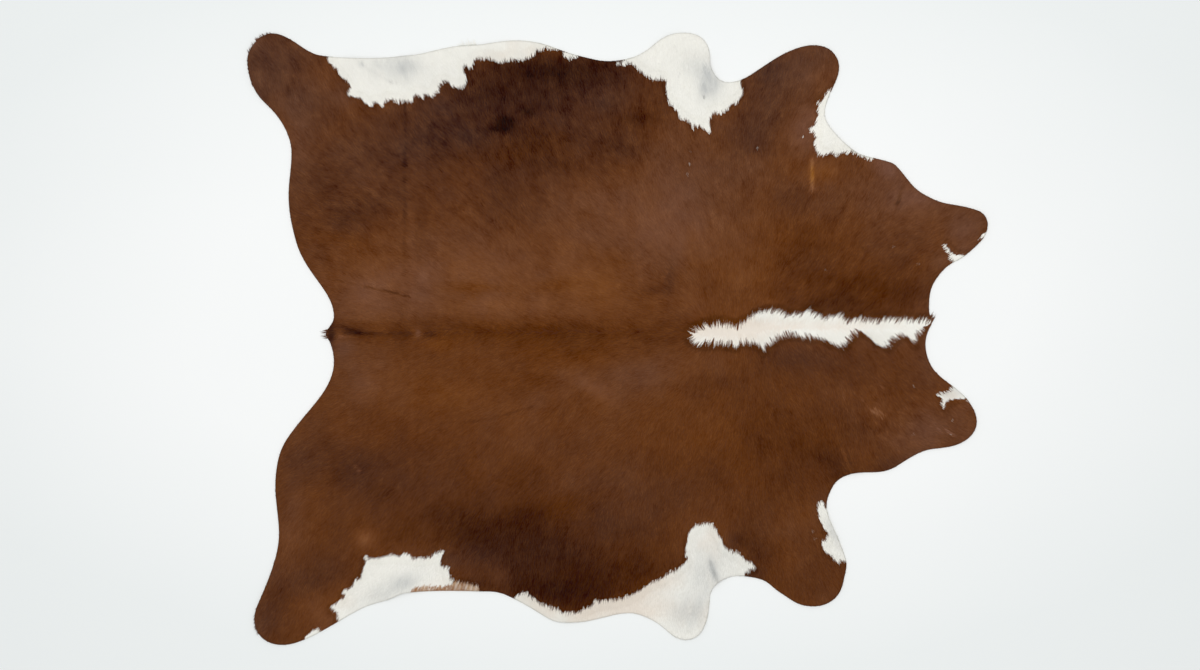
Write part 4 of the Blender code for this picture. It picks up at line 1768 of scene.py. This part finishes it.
    def dress(self, mesh: bpy.types.Mesh, rng: Generator, roots: Roots) -> None:
        """Colour each lock as the charts say at the part of it that shows.

        Args:
            mesh: The layer's mesh.
            rng: Where each lock's own stray is drawn from.
            roots: The locks' roots.
        """
        charts = self.colouring
        points = roots.places[:, :2] + roots.lie * (self.showing * self.length * roots.longer)[:, None]
        points += rng.normal(0.0, self.mingling, points.shape)
        places, fleck = Places(points, roots.lie), charts.fleck(points)
        white = np.maximum(charts.depth(places, Hue.WHITE) > 0.0, fleck)
        # painted shade on a lock's brown, or painted light on its white, as its layer asks
        painted_offset = np.where(white > 0.5, self.paler, -self.painted_gap_shade)
        stray = rng.uniform(-self.stray, self.stray, len(points)) + charts.mottle(places)
        for name, values in (
            ("white", white), ("tan", charts.tan(places)), ("thin", charts.thin(places)),
            ("shade", charts.shade(points) + painted_offset),
            ("ginger", charts.ginger(points) + (fleck > 0.0)), ("stray", stray),
        ):
            give(mesh, name, np.repeat(values, len(self.template)))
        for name, values in zip(("along", "across"), self.template.T):
            give(mesh, name, np.tile(values, len(points)))

    def unwrap(self, mesh: bpy.types.Mesh, squares: Array) -> None:
        """Give each lock its own square of the map, in the order that they lie on the hide.

        Args:
            mesh: The layer's mesh.
            squares: The number of each lock's square, in X and in Y.
        """
        flat = (self.template[:, :2] * (1.0, self.map_width) - (0.5, 0.0))[self.faces]
        root_end = np.isclose(np.ptp(flat[:, :, 0], axis=1), 0.0)
        flat[root_end] = self.map_base
        laid = (squares[:, None, None, :] + 0.5 + self.map_share * flat) / self.squares()
        layer = mesh.uv_layers.new(name="OFBake")
        layer.uv.foreach_set("vector", laid.astype(np.float32).ravel())


@dataclass
class BorderHair(Coat):
    """Finer hair along the borders of the markings, where the one colour runs out over the other."""

    pitch: float = 1.97
    length: float = 15.0
    width: float = 1.5
    thickness: float = 0.22
    rise: float = 5.0
    mingling: float = 1.3
    # painted shade on the brown, for the shaded gaps that these crowded fine locks cover, and painted
    # light on the white, against the shade among them
    painted_gap_shade: float = 0.06
    paler: float = 0.13
    reach_in: float = 17.0  # from the border, how far into the marking it is rooted
    reach_out: float = 9.0
    jitter: float = 0.6  # how far a root strays from its row, in pitches
    map_side: int = 240  # squares along each side of the map
    colouring: Colouring = field(default_factory=lambda: Colouring(flecks=FLECKS))
    seed: int = 77

    def squares(self) -> Array:
        """Count the squares of the map, enough for every lock."""
        return np.array((self.map_side, self.map_side))

    def build_all(self, material: bpy.types.Material) -> bpy.types.Object:
        """Build and dress the hair of all the borders.

        Args:
            material: The coat's material.

        Returns:
            The piece.
        """
        rng = np.random.default_rng(self.seed)
        places = even_points(HALF, self.pitch)
        deepest = self.colouring.deepest(places)
        places = places[(deepest > -self.reach_out) & (deepest < self.reach_in)]
        places += rng.uniform(-self.jitter, self.jitter, places.shape) * self.pitch
        squares = np.stack(np.divmod(np.arange(len(places)), self.map_side), 1)
        return self.lay_down(rng, "coat_borders", self.rooted(places, squares), material)


@dataclass(frozen=True)
class Lamp:
    """A square soft light that looks at the middle of the floor."""

    name: str = "softbox"
    place: tuple[float, float, float] = (-0.1, 0.7, 6.2)
    side: float = 4.2
    power: float = 196.0  # in watts
    colour: tuple[float, float, float] = (1.0, 0.99, 0.975)

    def hang(self) -> None:
        """Put the light in the scene."""
        light = bpy.data.lights.new(self.name, "AREA")
        light.shape = "SQUARE"
        light.size = self.side
        light.energy = self.power
        light.color = self.colour
        lamp = put(self.name, light)
        lamp.location = self.place
        lamp.rotation_mode = "QUATERNION"
        lamp.rotation_quaternion = (-Vector(self.place)).to_track_quat("-Z", "Y")


@dataclass
class Studio:
    """The floor, the soft light, the room's glow and the camera straight above."""

    floor_size: float = 40.0
    floor_drop: float = 0.4  # millimetres under the hide, so that the two don't share a plane
    floor_squares: int = 8
    view_width: float = 3.735  # of the floor that the camera sees
    aim: Pair = (-0.0545, 0.0118)
    lens: float = 50.0
    sensor: float = 36.0
    far_end: float = 100.0
    glow: tuple[float, float, float, float] = (0.96, 0.98, 1.0, 1.0)
    glow_strength: float = 0.60
    lamp: Lamp = field(default_factory=Lamp)
    finish: FloorFinish = field(default_factory=FloorFinish)

    def floor(self) -> None:
        """Lay the floor."""
        shape = bmesh.new()
        bmesh.ops.create_grid(
            shape, x_segments=self.floor_squares, y_segments=self.floor_squares,
            size=self.floor_size / 2,
        )
        bmesh.ops.translate(shape, verts=shape.verts[:], vec=DOWN * (self.floor_drop * MM))
        mesh = bpy.data.meshes.new("studio_floor")
        shape.to_mesh(mesh)
        shape.free()
        mesh.materials.append(self.finish.material())
        floor = put("studio_floor", mesh)

    def room(self) -> None:
        """Set the room's own glow."""
        room = bpy.data.worlds.new("studio_room")
        bpy.context.scene.world = room
        room.use_nodes = True
        glow = room.node_tree.nodes["Background"]
        glow.inputs["Color"].default_value = self.glow
        glow.inputs["Strength"].default_value = self.glow_strength

    def camera(self) -> None:
        """Hang the camera straight above, with the neck to the right."""
        lens = bpy.data.cameras.new("overhead")
        lens.lens = self.lens
        lens.sensor_width = self.sensor
        lens.clip_end = self.far_end
        camera = put("overhead", lens)
        camera.location = (*self.aim, self.view_width * self.lens / self.sensor)
        bpy.context.scene.camera = camera

    def build(self) -> None:
        """Set the studio up."""
        self.floor()
        self.lamp.hang()
        self.room()
        self.camera()
        bpy.context.scene.view_settings.view_transform = "Standard"


def report(piece: bpy.types.Object) -> None:
    """Tell that a piece is built."""
    LOG.info("%s: %d faces", piece.name, len(piece.data.polygons))


def main() -> None:
    """Build the rug and the studio, and note the sizes."""
    logging.basicConfig(level=logging.INFO, format="%(name)s: %(message)s")
    skin, surface, edge = HideSkin().build()
    report(skin)
    coat = Coat(surface, edge)
    material = coat.finish.material()
    for layer in Layer:
        report(coat.build(layer, material))
    report(BorderHair(surface, edge).build_all(material))
    Studio().build()
    LOG.info("studio: floor, light, room and camera")


if __name__ == "__main__":
    main()
